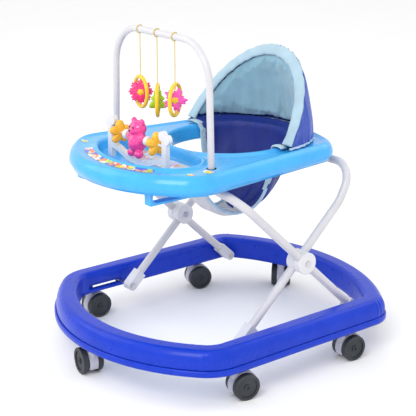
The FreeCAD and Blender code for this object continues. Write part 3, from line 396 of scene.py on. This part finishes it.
profile = railProfile(baseRing)
places, facing, heading, (frontTurn, side, rearTurn) = outlineRun(baseRing["outline"], baseRing["spacing"])
inset, height = profile[:, 0, None], profile[:, 1, None]
frontShare = (heading - frontTurn) / (side - frontTurn)
rearShare = (heading - side) / (rearTurn - side)
outerFace = ease(height, 9, 15) * (1 - ease(height, 30, 40)) * (inset < 20)
fluteBand = ease(frontShare, 0.02, 0.1) * (1 - ease(frontShare, 0.9, 0.99)) * (frontShare > 0) * (frontShare < 1)
flute = fluteBand * np.abs(np.sin(np.pi * baseRing["flutes"] * frontShare)) ** 0.6
fluteFlat = fluteBand * ease(-np.abs(frontShare - 0.5), -0.5, -0.42)
ribBand = (rearShare > 0.05) & (rearShare < 0.95)
rib = ribBand * np.sin(np.pi * baseRing["ribs"] * (rearShare - 0.05) / 0.9) ** 2
ribFace = ease(height, 8, 14) * (inset < 24)
push = (-baseRing["fluteDepth"] * outerFace * (fluteFlat - 0.75 * flute)[None]
        + baseRing["ribHeight"] * ribFace * (rib - 0.35 * ribBand)[None])
across = inset - push
x = places[None, :, 0] - facing[None, :, 0] * across
y = places[None, :, 1] - facing[None, :, 1] * across
z = baseRing["bottom"] + np.broadcast_to(height, x.shape)
wallHeight = profile[:-1, 1] + baseRing["bottom"]
wallRow = ((profile[:-1, 0] > 40) & (wallHeight > baseRing["slotLow"] + 1)
           & (wallHeight < baseRing["slotHigh"] + 1))
slotRun = (places[:, 1] > baseRing["slotStart"]) & (places[:, 1] < baseRing["slotEnd"]) & (np.abs(places[:, 0]) > 200)
keep = ~(wallRow[:, None] & slotRun[None])
rail = gridPiece("baseRail", np.stack([x, y, z], -1), "base", looks["ringBlue"],
                 wrapCols=True, keep=keep, flip=True)
thicken(rail, baseRing["wall"])
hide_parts("base_ring")
print("base ring made")

# ---- tray: one thin moulding with a rolled rim, a deep play recess and a lip round the seat hole
trayShape = {
    "outline": {"halfFront": 198, "halfRear": 165, "front": 292, "rear": 205, "frontBulge": 240, "rearBulge": 352,
                "frontCorner": 75, "rearCorner": 60},
    "recess": {"halfFront": 128, "halfRear": 114, "front": 236, "rear": -106, "frontBulge": 184, "rearBulge": 400,
               "frontCorner": 46, "rearCorner": 22},
    "bottom": 374, "top": 410, "wall": 3, "holeMiddle": 29, "holeHalf": 116, "holeReach": 123,
    "recessDepth": 20, "columns": 520,
}


# signed distance to a closed run of points, positive inside: the offset from the nearest point, against its
# outward direction
def insideBy(x, y, points, normal):
    shape = x.shape
    flat = np.stack([x.ravel(), y.ravel()], -1)
    out = np.zeros(len(flat))
    for start in range(0, len(flat), 8000):
        block = flat[start:start + 8000]
        gap = block[:, None] - points[None]
        near = np.argmin((gap ** 2).sum(-1), 1)
        pick = gap[np.arange(len(block)), near]
        away = (pick * normal[near]).sum(-1)
        out[start:start + 8000] = -np.sign(away) * np.sqrt((pick ** 2).sum(-1))
    return out.reshape(shape)


recessRun, recessNormal = outlineRun(trayShape["recess"], 1.5)[:2]
rimRun, rimNormal = outlineRun(trayShape["outline"], 1.5)[:2]


# top of the tray: flat, less the recess with rounded walls, plus a low bead inside the rim and round the hole
def trayTop(x, y):
    t = trayShape
    inRecess = insideBy(x, y, recessRun, recessNormal)
    inRim = insideBy(x, y, rimRun, rimNormal)
    hole = np.hypot(x / t["holeHalf"], (y - t["holeMiddle"]) / t["holeReach"])
    outHole = (hole - 1) * 0.5 * (t["holeHalf"] + t["holeReach"])
    z = t["top"] - t["recessDepth"] * ease(inRecess, -2.5, 5.5)
    z = z - 3.0 * ease(inRim, 12, 26) * (1 - ease(inRecess, -16, -6)) * ease(outHole, 10, 24)
    z = z + 2.2 * np.exp(-((inRecess + 6) / 4.0) ** 2) * (1 - ease(outHole, 12, 2))
    return z


# columns leave the hole's middle at even angles; rows go from the rim's foot over the top and down the hole's wall
angle = np.linspace(0, turn, trayShape["columns"], endpoint=False)
centre = np.array([0, trayShape["holeMiddle"]])
ray = np.stack([np.sin(angle), -np.cos(angle)], -1)
rimAngle = np.unwrap(np.arctan2(rimRun[:, 0], -(rimRun[:, 1] - centre[1])))
order = np.argsort(rimAngle)
inOrder = rimAngle[order]
threeTurns = np.concatenate([inOrder - turn, inOrder, inOrder + turn])


# values along the rim, read at the columns' angles
def atColumns(values):
    return np.stack([np.interp(angle, threeTurns, np.tile(values[order, k], 3)) for k in (0, 1)], -1)


rim, rimOut = atColumns(rimRun), atColumns(rimNormal)
rimOut /= np.linalg.norm(rimOut, axis=1, keepdims=True)
holeOval = np.array([trayShape["holeHalf"], trayShape["holeReach"]])
holeRadius = 1 / np.hypot(ray[:, 0] / holeOval[0], ray[:, 1] / holeOval[1])
hole = centre + ray * holeRadius[:, None]

# (inset from the rim, height) up the outside, then (distance out of the hole, fall below the lip) down the hole
skirt = np.array([[7.0, 374], [6.0, 374], [3.2, 380.5], [0.0, 386], [0.3, 390], [1.2, 394.5], [2.6, 398.6],
                  [4.6, 402.3], [7.0, 405.4], [9.6, 407.8], [12.4, 409.4], [15.0, 410]])
holeWall = [(7, 0), (5.4, 0.35), (3.6, 1.1), (2.0, 2.5), (0.9, 4.4), (0.2, 7), (0, 10), (0, 20), (0, 29), (0.8, 30.4)]
rows = [np.concatenate([rim - rimOut * i, np.full((len(rim), 1), z)], 1) for i, z in skirt]
inner = rim - rimOut * skirt[-1, 0]
lip = centre + ray * (holeRadius + holeWall[0][0])[:, None]
for share in np.linspace(0, 1, 118)[1:-1]:
    flat = inner + (lip - inner) * share
    rows.append(np.concatenate([flat, trayTop(flat[:, 0], flat[:, 1])[:, None]], 1))
lipHeight = trayTop(lip[:, 0], lip[:, 1])
for out, fall in holeWall:
    at = centre + ray * (holeRadius + out)[:, None]
    rows.append(np.concatenate([at, (lipHeight - fall)[:, None]], 1))
trayBody = gridPiece("trayTop", np.stack(rows), "tray", looks["trayBlue"], wrapCols=True)
thicken(trayBody, trayShape["wall"])
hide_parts("tray")
print("tray made")

# ---- printed stickers: thin films that lie on the tray, with plain round and star shapes in seeded places
def stickerPiece(name, x, y, ground, tints, shapes, seed):
    points = np.stack([x, y, trayTop(x, y) + 0.35], -1)
    piece = gridPiece(name, points, "tray", looks["stickerPrint"], flip=bool(np.cross(
        points[0, 1, :2] - points[0, 0, :2], points[1, 0, :2] - points[0, 0, :2]) < 0))
    tint = np.broadcast_to(np.asarray(ground, float), (*x.shape, 3)).copy()
    draw = np.random.default_rng(seed)
    for number in range(shapes):
        row, col = draw.integers(2, x.shape[0] - 2), draw.integers(2, x.shape[1] - 2)
        size, kind = draw.uniform(3.5, 8.5), draw.integers(3)
        dx, dy = x - x[row, col], y - y[row, col]
        far, way = np.hypot(dx, dy), np.arctan2(dy, dx)
        edge = size * (1 + (0, 0.28, 0.16)[kind] * np.cos((0, 5, 8)[kind] * way + number))
        tint[far < edge] = tints[number % len(tints)]
        tint[far < edge * 0.45] = tints[(number + 2) % len(tints)]
    layer = piece.data.color_attributes.new(name="print", type="FLOAT_COLOR", domain="POINT")
    layer.data.foreach_set("color", np.concatenate([tint, np.ones((*x.shape, 1))], -1).astype(np.float32).ravel())
    return piece


stickerTints = [(0.95, 0.30, 0.02), (0.95, 0.75, 0.05), (0.85, 0.05, 0.08), (0.15, 0.60, 0.10), (0.95, 0.95, 0.95)]
frontBand = outlineRun(trayShape["recess"], 1.6)
bandPick = (frontBand[0][:, 1] < -165) & (np.abs(frontBand[0][:, 0]) < 96)
bandWay = np.argsort(frontBand[0][bandPick][:, 0])
bandRun, bandOut = frontBand[0][bandPick][bandWay], frontBand[1][bandPick][bandWay]
across = np.linspace(11, 27, 14)
stickerPiece("bandSticker", bandRun[None, :, 0] + bandOut[None, :, 0] * across[:, None],
             bandRun[None, :, 1] + bandOut[None, :, 1] * across[:, None],
             (0.02, 0.13, 0.62), stickerTints, 46, 11)
floorX, floorY = np.meshgrid(np.linspace(-92, 92, 150), np.linspace(-163, -118, 44))
stickerPiece("floorSticker", floorX * (1 - 0.12 * ease(floorY, -150, -118)), floorY, (0.70, 0.72, 0.90),
             [(0.95, 0.42, 0.05), (0.95, 0.80, 0.12), (0.80, 0.25, 0.35), (0.55, 0.60, 0.90),
              (0.97, 0.97, 0.97)], 34, 5)
for number, (midX, midY, wide) in enumerate([(166, -150, 13), (160, -186, 8), (-165, -120, 12), (-150, -205, 9)]):
    rad, ang = np.meshgrid(np.linspace(0.02, 1, 12), np.linspace(0, turn, 48), indexing="ij")
    stickerPiece("spotSticker%d" % number, midX + wide * rad * np.cos(ang), midY + wide * 0.6 * rad * np.sin(ang),
                 (0.9, 0.93, 0.98), stickerTints, 7, 20 + number)
print("stickers made")

# ---- seat: a padded hood of cloth over a hoop, a cloth bucket in the tray's hole and a net strap between the legs
seat = {
    "half": 156, "depth": 146, "rise": 243, "lean": 158, "middle": 46, "base": 410.4, "pad": 12,
    "seamLift": 8, "hemWide": 11.5, "hemThick": 5.0, "pipe": 2.4,
    "bowlHalf": 109, "bowlReach": 118, "bowlDrop": 150, "bowlMiddle": 29, "bowlTop": 404, "strapHalf": 40,
    "bucketFront": 49, "voxel": 4.5, "pressure": 4.0, "frames": 20, "swellCap": 6,
}
leanAngle = math.atan2(seat["lean"], seat["rise"])


# hood surface: a point of the ellipsoid (half cos a cos b, depth sin a cos b, rise sin b), with b from low up to the
# hoop's leaning plane, where tan b = depth sin a / (rise tan lean); shrink moves it inward
def hoodGrid(around, up, shrink=0.0, low=0.0, s=seat):
    half, depth, rise = s["half"] - shrink, s["depth"] - shrink, s["rise"] - shrink
    a = around[None, :]
    top = np.arctan2(depth * np.sin(a), rise * math.tan(leanAngle))
    bottom = np.minimum(np.arcsin(low / rise), top * 0.98)
    b = bottom + (top - bottom) * up[:, None]
    a = np.broadcast_to(a, b.shape)
    place = np.stack([half * np.cos(a) * np.cos(b), s["middle"] + depth * np.sin(a) * np.cos(b),
                      s["base"] + rise * np.sin(b)], -1)
    out = np.stack([np.cos(a) * np.cos(b) / half, np.sin(a) * np.cos(b) / depth, np.sin(b) / rise], -1)
    return place, out / np.linalg.norm(out, axis=-1, keepdims=True), a


# makes the modifiers' result the piece's own mesh
def takeShape(piece):
    shaped = piece.evaluated_get(bpy.context.evaluated_depsgraph_get())
    mesh = bpy.data.meshes.new_from_object(shaped)
    piece.modifiers.clear()
    piece.data = mesh
    mesh.polygons.foreach_set("use_smooth", np.ones(len(mesh.polygons), bool))


def readPoints(mesh):
    found = np.zeros(len(mesh.vertices) * 3)
    mesh.vertices.foreach_get("co", found)
    return found.reshape(-1, 3)


# pads: a voxel skin, then a short pressure simulation without gravity, with every point's move capped
def swellPad(piece, s=seat):
    skin = piece.modifiers.new("skin", "REMESH")
    skin.mode, skin.voxel_size, skin.use_smooth_shade = "VOXEL", s["voxel"] * mm, True
    takeShape(piece)
    cloth = piece.modifiers.new("swell", "CLOTH")
    cloth.settings.use_pressure = True
    cloth.settings.uniform_pressure_force = s["pressure"]
    cloth.settings.effector_weights.gravity = 0
    cloth.point_cache.frame_start, cloth.point_cache.frame_end = 1, s["frames"]
    before = readPoints(piece.data)
    for step in range(1, s["frames"] + 1):
        bpy.context.scene.frame_set(step)
    after = readPoints(piece.evaluated_get(bpy.context.evaluated_depsgraph_get()).data)
    move = after - before
    far = np.linalg.norm(move, axis=1, keepdims=True)
    move *= np.minimum(1, s["swellCap"] * mm / np.maximum(far, 1e-9))
    piece.modifiers.remove(cloth)
    setPoints(piece, (before + move) / mm)
    bpy.context.scene.frame_set(1)


def setPoints(piece, points):
    piece.data.vertices.foreach_set("co", (points * mm).astype(np.float32).ravel())
    piece.data.update()


# outer cover: the hood surface with gathers that are strongest at both hems and slow folds between
around = np.linspace(math.radians(3), math.pi - math.radians(3), 320)
up = np.linspace(0, 1, 64)
shell, out, a = hoodGrid(around, up)
lift = np.broadcast_to(up[:, None], a.shape)
gathers = np.sin(a * 46 + 1.5 * np.sin(a * 9)) * 0.8 + np.sin(a * 83 + 2.0 * np.sin(a * 5)) * 0.4
gathers = gathers * (np.exp(-lift / 0.18) * 1.2 + np.exp(-(1 - lift) / 0.14) * 0.9 + 0.15)
fold = ripple(a * 150, lift * 60, 9, 120, 45, 3) * 1.5 * ease(lift, 0, 0.2) * (1 - ease(lift, 0.85, 1))
shell = shell + out * (gathers + fold)[..., None]
cover = gridPiece("seatCover", shell, "tray", looks["satinBlue"])
thicken(cover, 1.2)
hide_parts("seat_backrest")

# liner: a closed pad, its outer face just inside the cover and its inner face a pad's thickness in, swollen and
# then creased by upright ripples
linerUp = np.linspace(0, 0.999, 40)
outerFace = hoodGrid(around[4:-4], linerUp, seat["pad"] + 0.8, seat["seamLift"])[0]
innerFace = hoodGrid(around[4:-4], linerUp[::-1], seat["pad"] + 8.0, seat["seamLift"] + 1)[0]
linerGrid = np.concatenate([outerFace, innerFace])
ends = [np.repeat(linerGrid[:, k:k + 1].mean(0, keepdims=True), len(linerGrid), 0) for k in (0, -1)]
linerGrid = np.concatenate([ends[0], linerGrid, ends[1]], 1)
liner = gridPiece("seatLiner", linerGrid, "tray", looks["paleTeal"], wrapRows=True, weld=True)
swellPad(liner)
spot = readPoints(liner.data) / mm
inward = spot - np.array([0, seat["middle"], seat["base"]])
azimuth = np.arctan2(inward[:, 1] / seat["depth"], inward[:, 0] / seat["half"])
rise = np.clip((spot[:, 2] - seat["base"]) / 150, 0, 1)
crease = (np.sin(azimuth * 34 + 2.2 * np.sin(azimuth * 7)) * np.exp(-rise / 0.22) * 1.3
          + ripple(azimuth * 150, rise * 55, 10, 70, 26, 9) * 1.1)
inward /= np.linalg.norm(inward, axis=1, keepdims=True)
setPoints(liner, spot - inward * (crease + 0.6)[:, None])
roundOff(liner)
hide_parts("backrest_liner")

# hem: a flat padded band round the hood's edge, from the child's left foot of the hoop over the top to the right
hemWay = np.linspace(math.radians(2), math.pi - math.radians(2), 200)
hemLine, hemOut = [rows[0] for rows in hoodGrid(hemWay, np.array([1.0]), seat["pad"] - 1.5)[:2]]
planeOut = np.array([0, math.cos(leanAngle), -math.sin(leanAngle)])
flatOut = hemOut - (hemOut @ planeOut)[:, None] * planeOut
flatOut /= np.linalg.norm(flatOut, axis=1, keepdims=True)
section = np.linspace(0, turn, 20, endpoint=False)
wide = seat["hemWide"] * (1 + 0.05 * np.sin(hemWay * 41) + 0.04 * np.sin(hemWay * 23 + 1))
hemGrid = (hemLine[:, None] + flatOut[:, None] * (wide[:, None] * np.cos(section))[..., None]
           - planeOut * 1.5 + planeOut * (seat["hemThick"] * np.sin(section))[None, :, None])
caps = [np.repeat(hemGrid[k:k + 1].mean(1, keepdims=True), len(section), 1) for k in (0, -1)]
hem = gridPiece("seatHem", np.concatenate([caps[0], hemGrid, caps[1]]), "tray", looks["hemTeal"],
                wrapCols=True, weld=True)
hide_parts("seat_hoop")

# piping along the cover's lower edge, a little wavy where the gathers push it
pipeWay = np.linspace(math.radians(1), math.pi - math.radians(1), 260)
pipeLine, pipeOut = [rows[0] for rows in hoodGrid(pipeWay, np.array([0.0]), 1.0)[:2]]
pipeLine = pipeLine + pipeOut * (0.9 * np.sin(pipeWay * 46))[:, None] + np.array([0, 0, 2.6])
tubePiece("coverPiping", pipeLine, seat["pipe"], "tray", looks["pipingPale"], sides=12)


# bucket: rows fall from the liner's foot over the deck and the hole's rim into the bowl; the bowl is the ellipsoid
# (half cos a cos b, reach sin a cos b, -drop sin b) and stops at the front line, where sin a cos b = front / reach
def bowlPoint(a, b, s=seat):
    return np.stack([s["bowlHalf"] * np.cos(a) * np.cos(b), s["bowlMiddle"] + s["bowlReach"] * np.sin(a) * np.cos(b),
                     s["bowlTop"] - s["bowlDrop"] * np.sin(b) + 0 * a], -1)


share = np.linspace(0, 1, 220)
frontSine = (seat["bucketFront"] - seat["bowlMiddle"]) / seat["bowlReach"]
depths = np.linspace(0, math.acos(frontSine) - 0.02, 60)
rows = []
for b in depths:
    first = math.asin(frontSine / math.cos(b))
    rows.append(bowlPoint(first + (math.pi - 2 * first) * share, b))
top = rows[0]
wrapAround = math.asin(frontSine) + (math.pi - 2 * math.asin(frontSine)) * share
footAround = share * math.pi * 0.98 + 0.03
rimEdge = np.stack([114.2 * np.cos(wrapAround), seat["bowlMiddle"] + 121.2 * np.sin(wrapAround),
                    np.full(len(share), 412.2)], -1)
liningFoot = np.stack([133.5 * np.cos(footAround), seat["middle"] + 124 * np.sin(footAround),
                       np.full(len(share), 419.5)], -1)


# rows from one edge towards the next, raised in the middle by the given height
def between(start, stop, count, raised):
    steps = np.linspace(0, 1, count + 1)[:-1]
    return [start + (stop - start) * t + np.array([0, 0, raised * math.sin(math.pi * t)]) for t in steps]


bucketGrid = np.stack(between(liningFoot, rimEdge, 13, -2.2) + between(rimEdge, top, 5, 1.2) + rows)
level = np.arange(len(bucketGrid))[:, None] * 1.0
offSeam = np.abs(share - 0.5)[None]
ridge = 1.2 * np.exp(-(offSeam / 0.006) ** 2) - np.exp(-((offSeam - 0.012) / 0.008) ** 2)
slack = 1.6 * ripple(share[None] * 360, level * 3, 10, 110, 30, 17)
pull = np.sin(share * 90)[None] * np.exp(-level / 6) * 0.9
push = (ridge + slack * ease(level, 2, 16) + pull)[..., None]
toMiddle = np.array([0, 29, 380]) - bucketGrid
toMiddle /= np.linalg.norm(toMiddle, axis=-1, keepdims=True)
bucket = gridPiece("seatBucket", bucketGrid + toMiddle * push, "tray", looks["navyCloth"])
thicken(bucket, 1.4, 0.0)
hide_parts("seat_sling")

# strap: net between the legs, from the bucket's front edge round the bottom and up to the front of the hole
strapX = np.linspace(-seat["strapHalf"], seat["strapHalf"], 60)
keepIn = np.sqrt(1 - (strapX / seat["bowlHalf"]) ** 2)
startTurn = np.arccos((seat["bucketFront"] + 6 - seat["bowlMiddle"]) / (seat["bowlReach"] * keepIn))
sweep = startTurn[None] + (math.pi - startTurn[None]) * np.linspace(0, 1, 130)[:, None]
waist = 1 - 0.10 * np.sin(np.linspace(0, math.pi, 130))[:, None]
strapGrid = np.stack([np.broadcast_to(strapX[None] * waist, sweep.shape),
                      seat["bowlMiddle"] + seat["bowlReach"] * keepIn[None] * np.cos(sweep),
                      seat["bowlTop"] - seat["bowlDrop"] * keepIn[None] * np.sin(sweep)], -1)
strapGrid[..., 2] += ripple(strapGrid[..., 0], sweep * 120, 8, 60, 22, 31) * np.sin(sweep)
strap = gridPiece("seatStrap", strapGrid, "tray", looks["whiteNet"])
thicken(strap, 1.2, 0.0)
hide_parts("crotch_panel")

# bindings: from each foot of the hoop over the rim, down the bucket's front edge and along the strap's edge
for sideWord, sign in (("Left", 1), ("Right", -1)):
    edge = np.stack([row[0] if sign > 0 else row[-1] for row in rows])
    edge = edge[np.abs(edge[:, 0]) > seat["strapHalf"]]
    strapEdge = strapGrid[:, -1 if sign > 0 else 0]
    foot = np.array([[sign * 143, 46, 413], [sign * 136, 45, 415.5], [sign * 124, 46, 414.5], [sign * 115, 48, 412]])
    upper = np.concatenate([foot, edge[1:28:3]])
    upper[:, 0] -= sign * 1.2
    spline = np.linspace(0, len(upper) - 1, 90)
    upper = np.stack([np.interp(spline, np.arange(len(upper)), upper[:, k]) for k in range(3)], -1)
    band = tubeGrid(upper, 1.0, 16, reference=(0.02, 1, 0.01))
    middle = upper[:, None]
    offset = band - middle
    offset[..., 1] *= 8.0
    offset[..., [0, 2]] *= 2.2
    capped = middle + offset
    capped = np.concatenate([middle[:1].repeat(16, 1), capped, middle[-1:].repeat(16, 1)])
    gridPiece("bucketBinding" + sideWord, capped, "tray", looks["hemTeal"], wrapCols=True, weld=True)
    lower = np.concatenate([edge[24:], strapEdge[2:]])
    tubePiece("strapPiping" + sideWord, lower, 3.0, "tray", looks["pipingPale"], sides=12,
              reference=(1, 0.02, 0.01))
print("seat made")


# ---- toys: strings, figures, stars and the bear
# pillow shape: outline radius R(angle) shrunk by share s, faces bulged by thick * sqrt(1 - s^power) to each side
def pillowGrid(radius, thick, centre, right, up, power=2.6, rings=14):
    radius = np.asarray(radius, float)
    angle = np.linspace(0, turn, len(radius), endpoint=False)
    share = np.sin(np.linspace(0, math.pi / 2, rings))
    right, up = np.asarray(right, float), np.asarray(up, float)
    front = np.cross(right, up)
    flat = (right * np.cos(angle)[:, None] + up * np.sin(angle)[:, None]) * radius[:, None]
    bulge = thick * np.sqrt(np.maximum(0, 1 - share ** power))
    half = flat[None] * share[:, None, None]
    grid = np.concatenate([half + front * bulge[:, None, None], half[::-1][1:] - front * bulge[::-1][1:, None, None]])
    return grid + np.asarray(centre, float)


toyBar = {"y": -132, "z": 627, "loop": 7.5, "string": 0.8}
toys = {"right": (-64, 78, "magenta"), "middle": (-10, 85, "limeGreen"), "left": (44, 75, "softPink")}
around = np.linspace(0, turn, 180, endpoint=False)
petal = 17.5 + 5.0 * np.abs(np.cos(4 * around)) ** 0.7 + 1.4 * np.cos(24 * around)
treeCorner = np.array([(0, 23), (8.5, 12.5), (5.8, 9.4), (13.5, 2.2), (8.0, -0.8), (17, -14), (4.2, -14.6),
                       (3.8, -22), (0, -22)], float)
treeAngle = np.arctan2(treeCorner[:, 1], treeCorner[:, 0])
halfTurn = np.abs(np.arctan2(np.cos(around), np.sin(around)))
treeRadius = np.interp(math.pi / 2 - halfTurn, treeAngle[::-1], np.hypot(*treeCorner.T)[::-1])
treeRadius = np.convolve(np.concatenate([treeRadius[-3:], treeRadius, treeRadius[:3]]), np.ones(7) / 7, "valid")
blob = 18.2 + 3.6 * np.cos(5 * around + 0.5) + 2.2 * np.cos(15 * around)
shapesOf = {"right": petal, "middle": treeRadius, "left": blob}
across = np.array([0.629, 0.777, 0.0])
for place, (x, drop, look) in toys.items():
    middle = np.array([x, toyBar["y"], toyBar["z"] - toyBar["loop"] - drop - 32])
    figure = gridPiece("toyShape_" + place, pillowGrid(shapesOf[place], 6.5, middle, across, (0, 0, 1)),
                       "figure_" + place, looks[look], wrapCols=True, weld=True)
    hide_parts("toy_figure_" + place)
    cogs = np.full(40, 7.0) + (np.arange(40) % 8 > 3)
    gridPiece("toyBoss_" + place, pillowGrid(cogs, 9.5, middle, across, (0, 0, 1)), "figure_" + place,
              looks["limeGreen" if place == "middle" else "sunYellow"], wrapCols=True, weld=True)
    ringTurn = np.linspace(0, turn, 40, endpoint=False)
    loop = np.stack([0 * ringTurn + x, toyBar["y"] + toyBar["loop"] * np.sin(ringTurn),
                     toyBar["z"] + toyBar["loop"] * np.cos(ringTurn)], -1)
    knotLoop = tubePiece("stringLoop_" + place, loop, toyBar["string"], "toy_" + place, looks["stringYellow"],
                         sides=8, reference=(1, 0, 0), closed=True)
    curve = bpy.data.curves.new("toyString_" + place, "CURVE")
    curve.dimensions = "3D"
    spline = curve.splines.new("NURBS")
    exitZ = toyBar["z"] - toyBar["loop"]
    route = [(x, toyBar["y"], exitZ), (x, toyBar["y"], exitZ - drop * 0.3),
             (x + 0.3, toyBar["y"], exitZ - drop * 0.6), (x, toyBar["y"], exitZ - drop)]
    spline.points.add(len(route) - 1)
    for point, at in zip(spline.points, route):
        point.co = (at[0] * mm, at[1] * mm, at[2] * mm, 1)
    spline.order_u, spline.use_endpoint_u = 3, True
    curve.bevel_depth, curve.bevel_resolution, curve.use_fill_caps = toyBar["string"] * mm, 3, True
    string = bpy.data.objects.new("toyString_" + place, curve)
    bpy.context.scene.collection.objects.link(string)
    curve.materials.append(looks["stringYellow"])
    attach(string, "toy_" + place)
    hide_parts("toy_string_" + place)

console = {"y": -185, "z": 441, "starX": 58}
lobes = 11.5 + 11.5 * np.abs(np.cos(2.5 * (np.linspace(0, turn, 180, endpoint=False) - math.pi / 2))) ** 0.8
for word, sign in (("left", 1), ("right", -1)):
    onRod = (sign * console["starX"], console["y"], console["z"])
    star = gridPiece("starBead_" + word, pillowGrid(lobes, 7.0, onRod, (0, 1, 0), (0, 0, 1), 4.5), "star_" + word,
                     looks["amber"], wrapCols=True, weld=True)
    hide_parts("star_" + word)


# bear: ellipsoids (place, radii) joined by a voxel skin and smoothed into one body
def ballGrid(place, radii, rows=18, cols=26):
    up = np.linspace(-math.pi / 2, math.pi / 2, rows)[:, None]
    round_ = np.linspace(0, turn, cols, endpoint=False)[None]
    return np.stack([np.cos(up) * np.cos(round_) * radii[0], np.cos(up) * np.sin(round_) * radii[1],
                     np.sin(up) * radii[2] + 0 * round_], -1) + np.asarray(place, float)


bearParts = [((0, 0, -6), (20, 16, 21)), ((0, 0, 18), (18.5, 15.5, 15.5)), ((-12, 1, 31), (6.5, 5, 6.5)),
             ((12, 1, 31), (6.5, 5, 6.5)), ((0, -12, 15), (8, 7, 6)), ((-17, -4, 1), (7, 7, 10)),
             ((17, -4, 1), (7, 7, 10)), ((-11, -6, -28), (9, 9, 8)), ((11, -6, -28), (9, 9, 8)),
             ((0, -12, -8), (11, 7, 13))]
bearPoints, bearFaces = [], []
for place, radii in bearParts:
    grid = ballGrid((place[0], place[1] + console["y"], place[2] + console["z"]), radii)
    bearFaces.append(gridQuads(*grid.shape[:2], wrapCols=True) + sum(len(p) for p in bearPoints))
    bearPoints.append(grid.reshape(-1, 3))
bear = addMesh("bearBody", np.concatenate(bearPoints), np.concatenate(bearFaces), "bear", looks["pink"])
closeShell(bear)
skin = bear.modifiers.new("skin", "REMESH")
skin.mode, skin.voxel_size, skin.use_smooth_shade = "VOXEL", 1.3 * mm, True
blur = bear.modifiers.new("blur", "SMOOTH")
blur.factor, blur.iterations = 0.6, 6
takeShape(bear)
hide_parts("bear")
for sign in (1, -1):
    gridPiece("bearEye%s" % ("Left" if sign > 0 else "Right"),
              ballGrid((sign * 5.5, console["y"] - 14.2, console["z"] + 22), (1.8, 1.2, 2.2), 10, 16),
              "bear", looks["wheelBlack"], wrapCols=True, weld=True)
gridPiece("bearNose", ballGrid((0, console["y"] - 18.6, console["z"] + 16.5), (2.6, 1.6, 1.9), 10, 16),
          "bear", looks["wheelBlack"], wrapCols=True, weld=True)
print("toys made")

# ---- stage, light and camera
floorLook, floorTree, floorShader = newLook("paleFloor", Roughness=0.6)
tone = noiseOf(floorTree, 400, 2)
floorTree.links.new(colourRamp(floorTree, tone, [(0.0, (0.93, 0.93, 0.935)), (1.0, (0.96, 0.96, 0.965))]),
                    floorShader.inputs["Base Color"])
floorHalf = 6.0  # metres
floorMesh = bpy.data.meshes.new("floor")
floorMesh.from_pydata([(-floorHalf, -floorHalf, 0), (floorHalf, -floorHalf, 0), (floorHalf, floorHalf, 0),
                       (-floorHalf, floorHalf, 0)], [], [(0, 1, 2, 3)])
floorMesh.materials.append(floorLook)
floor = bpy.data.objects.new("floor", floorMesh)
bpy.context.scene.collection.objects.link(floor)

world = bpy.data.worlds.new("studio")
bpy.context.scene.world = world
world.use_nodes = True
world.node_tree.nodes["Background"].inputs["Color"].default_value = (1.0, 1.0, 1.0, 1)
world.node_tree.nodes["Background"].inputs["Strength"].default_value = 1.0


def addLight(name, place, target, size, watts):
    data = bpy.data.lights.new(name, "AREA")
    data.shape, data.size, data.energy = "SQUARE", size, watts
    light = bpy.data.objects.new(name, data)
    bpy.context.scene.collection.objects.link(light)
    light.location = place
    way = np.asarray(target, float) - np.asarray(place, float)
    light.rotation_mode = "QUATERNION"
    light.rotation_quaternion = Vector(way).to_track_quat("-Z", "Y")


addLight("keyLight", (1.2, -2.0, 2.2), (0, 0, 0.3), 1.4, 34)
addLight("sideLight", (-1.6, -1.6, 1.8), (0, 0, 0.3), 1.6, 12)
addLight("backLight", (0.4, 2.4, 2.0), (0, 0, 0.3), 1.6, 10)

shot = {"place": (1.7311, -1.3789, 0.9810), "target": (-0.0298, 0.0012, 0.262), "lens": 102.5}
cameraData = bpy.data.cameras.new("camera")
cameraData.lens, cameraData.sensor_width = shot["lens"], 36
cameraData.clip_start, cameraData.clip_end = 0.05, 50
camera = bpy.data.objects.new("camera", cameraData)
bpy.context.scene.collection.objects.link(camera)
camera.location = shot["place"]
camera.rotation_mode = "QUATERNION"
camera.rotation_quaternion = (Vector(shot["target"]) - Vector(shot["place"])).to_track_quat("-Z", "Y")
bpy.context.scene.camera = camera
bpy.context.scene.view_settings.view_transform = "Standard"
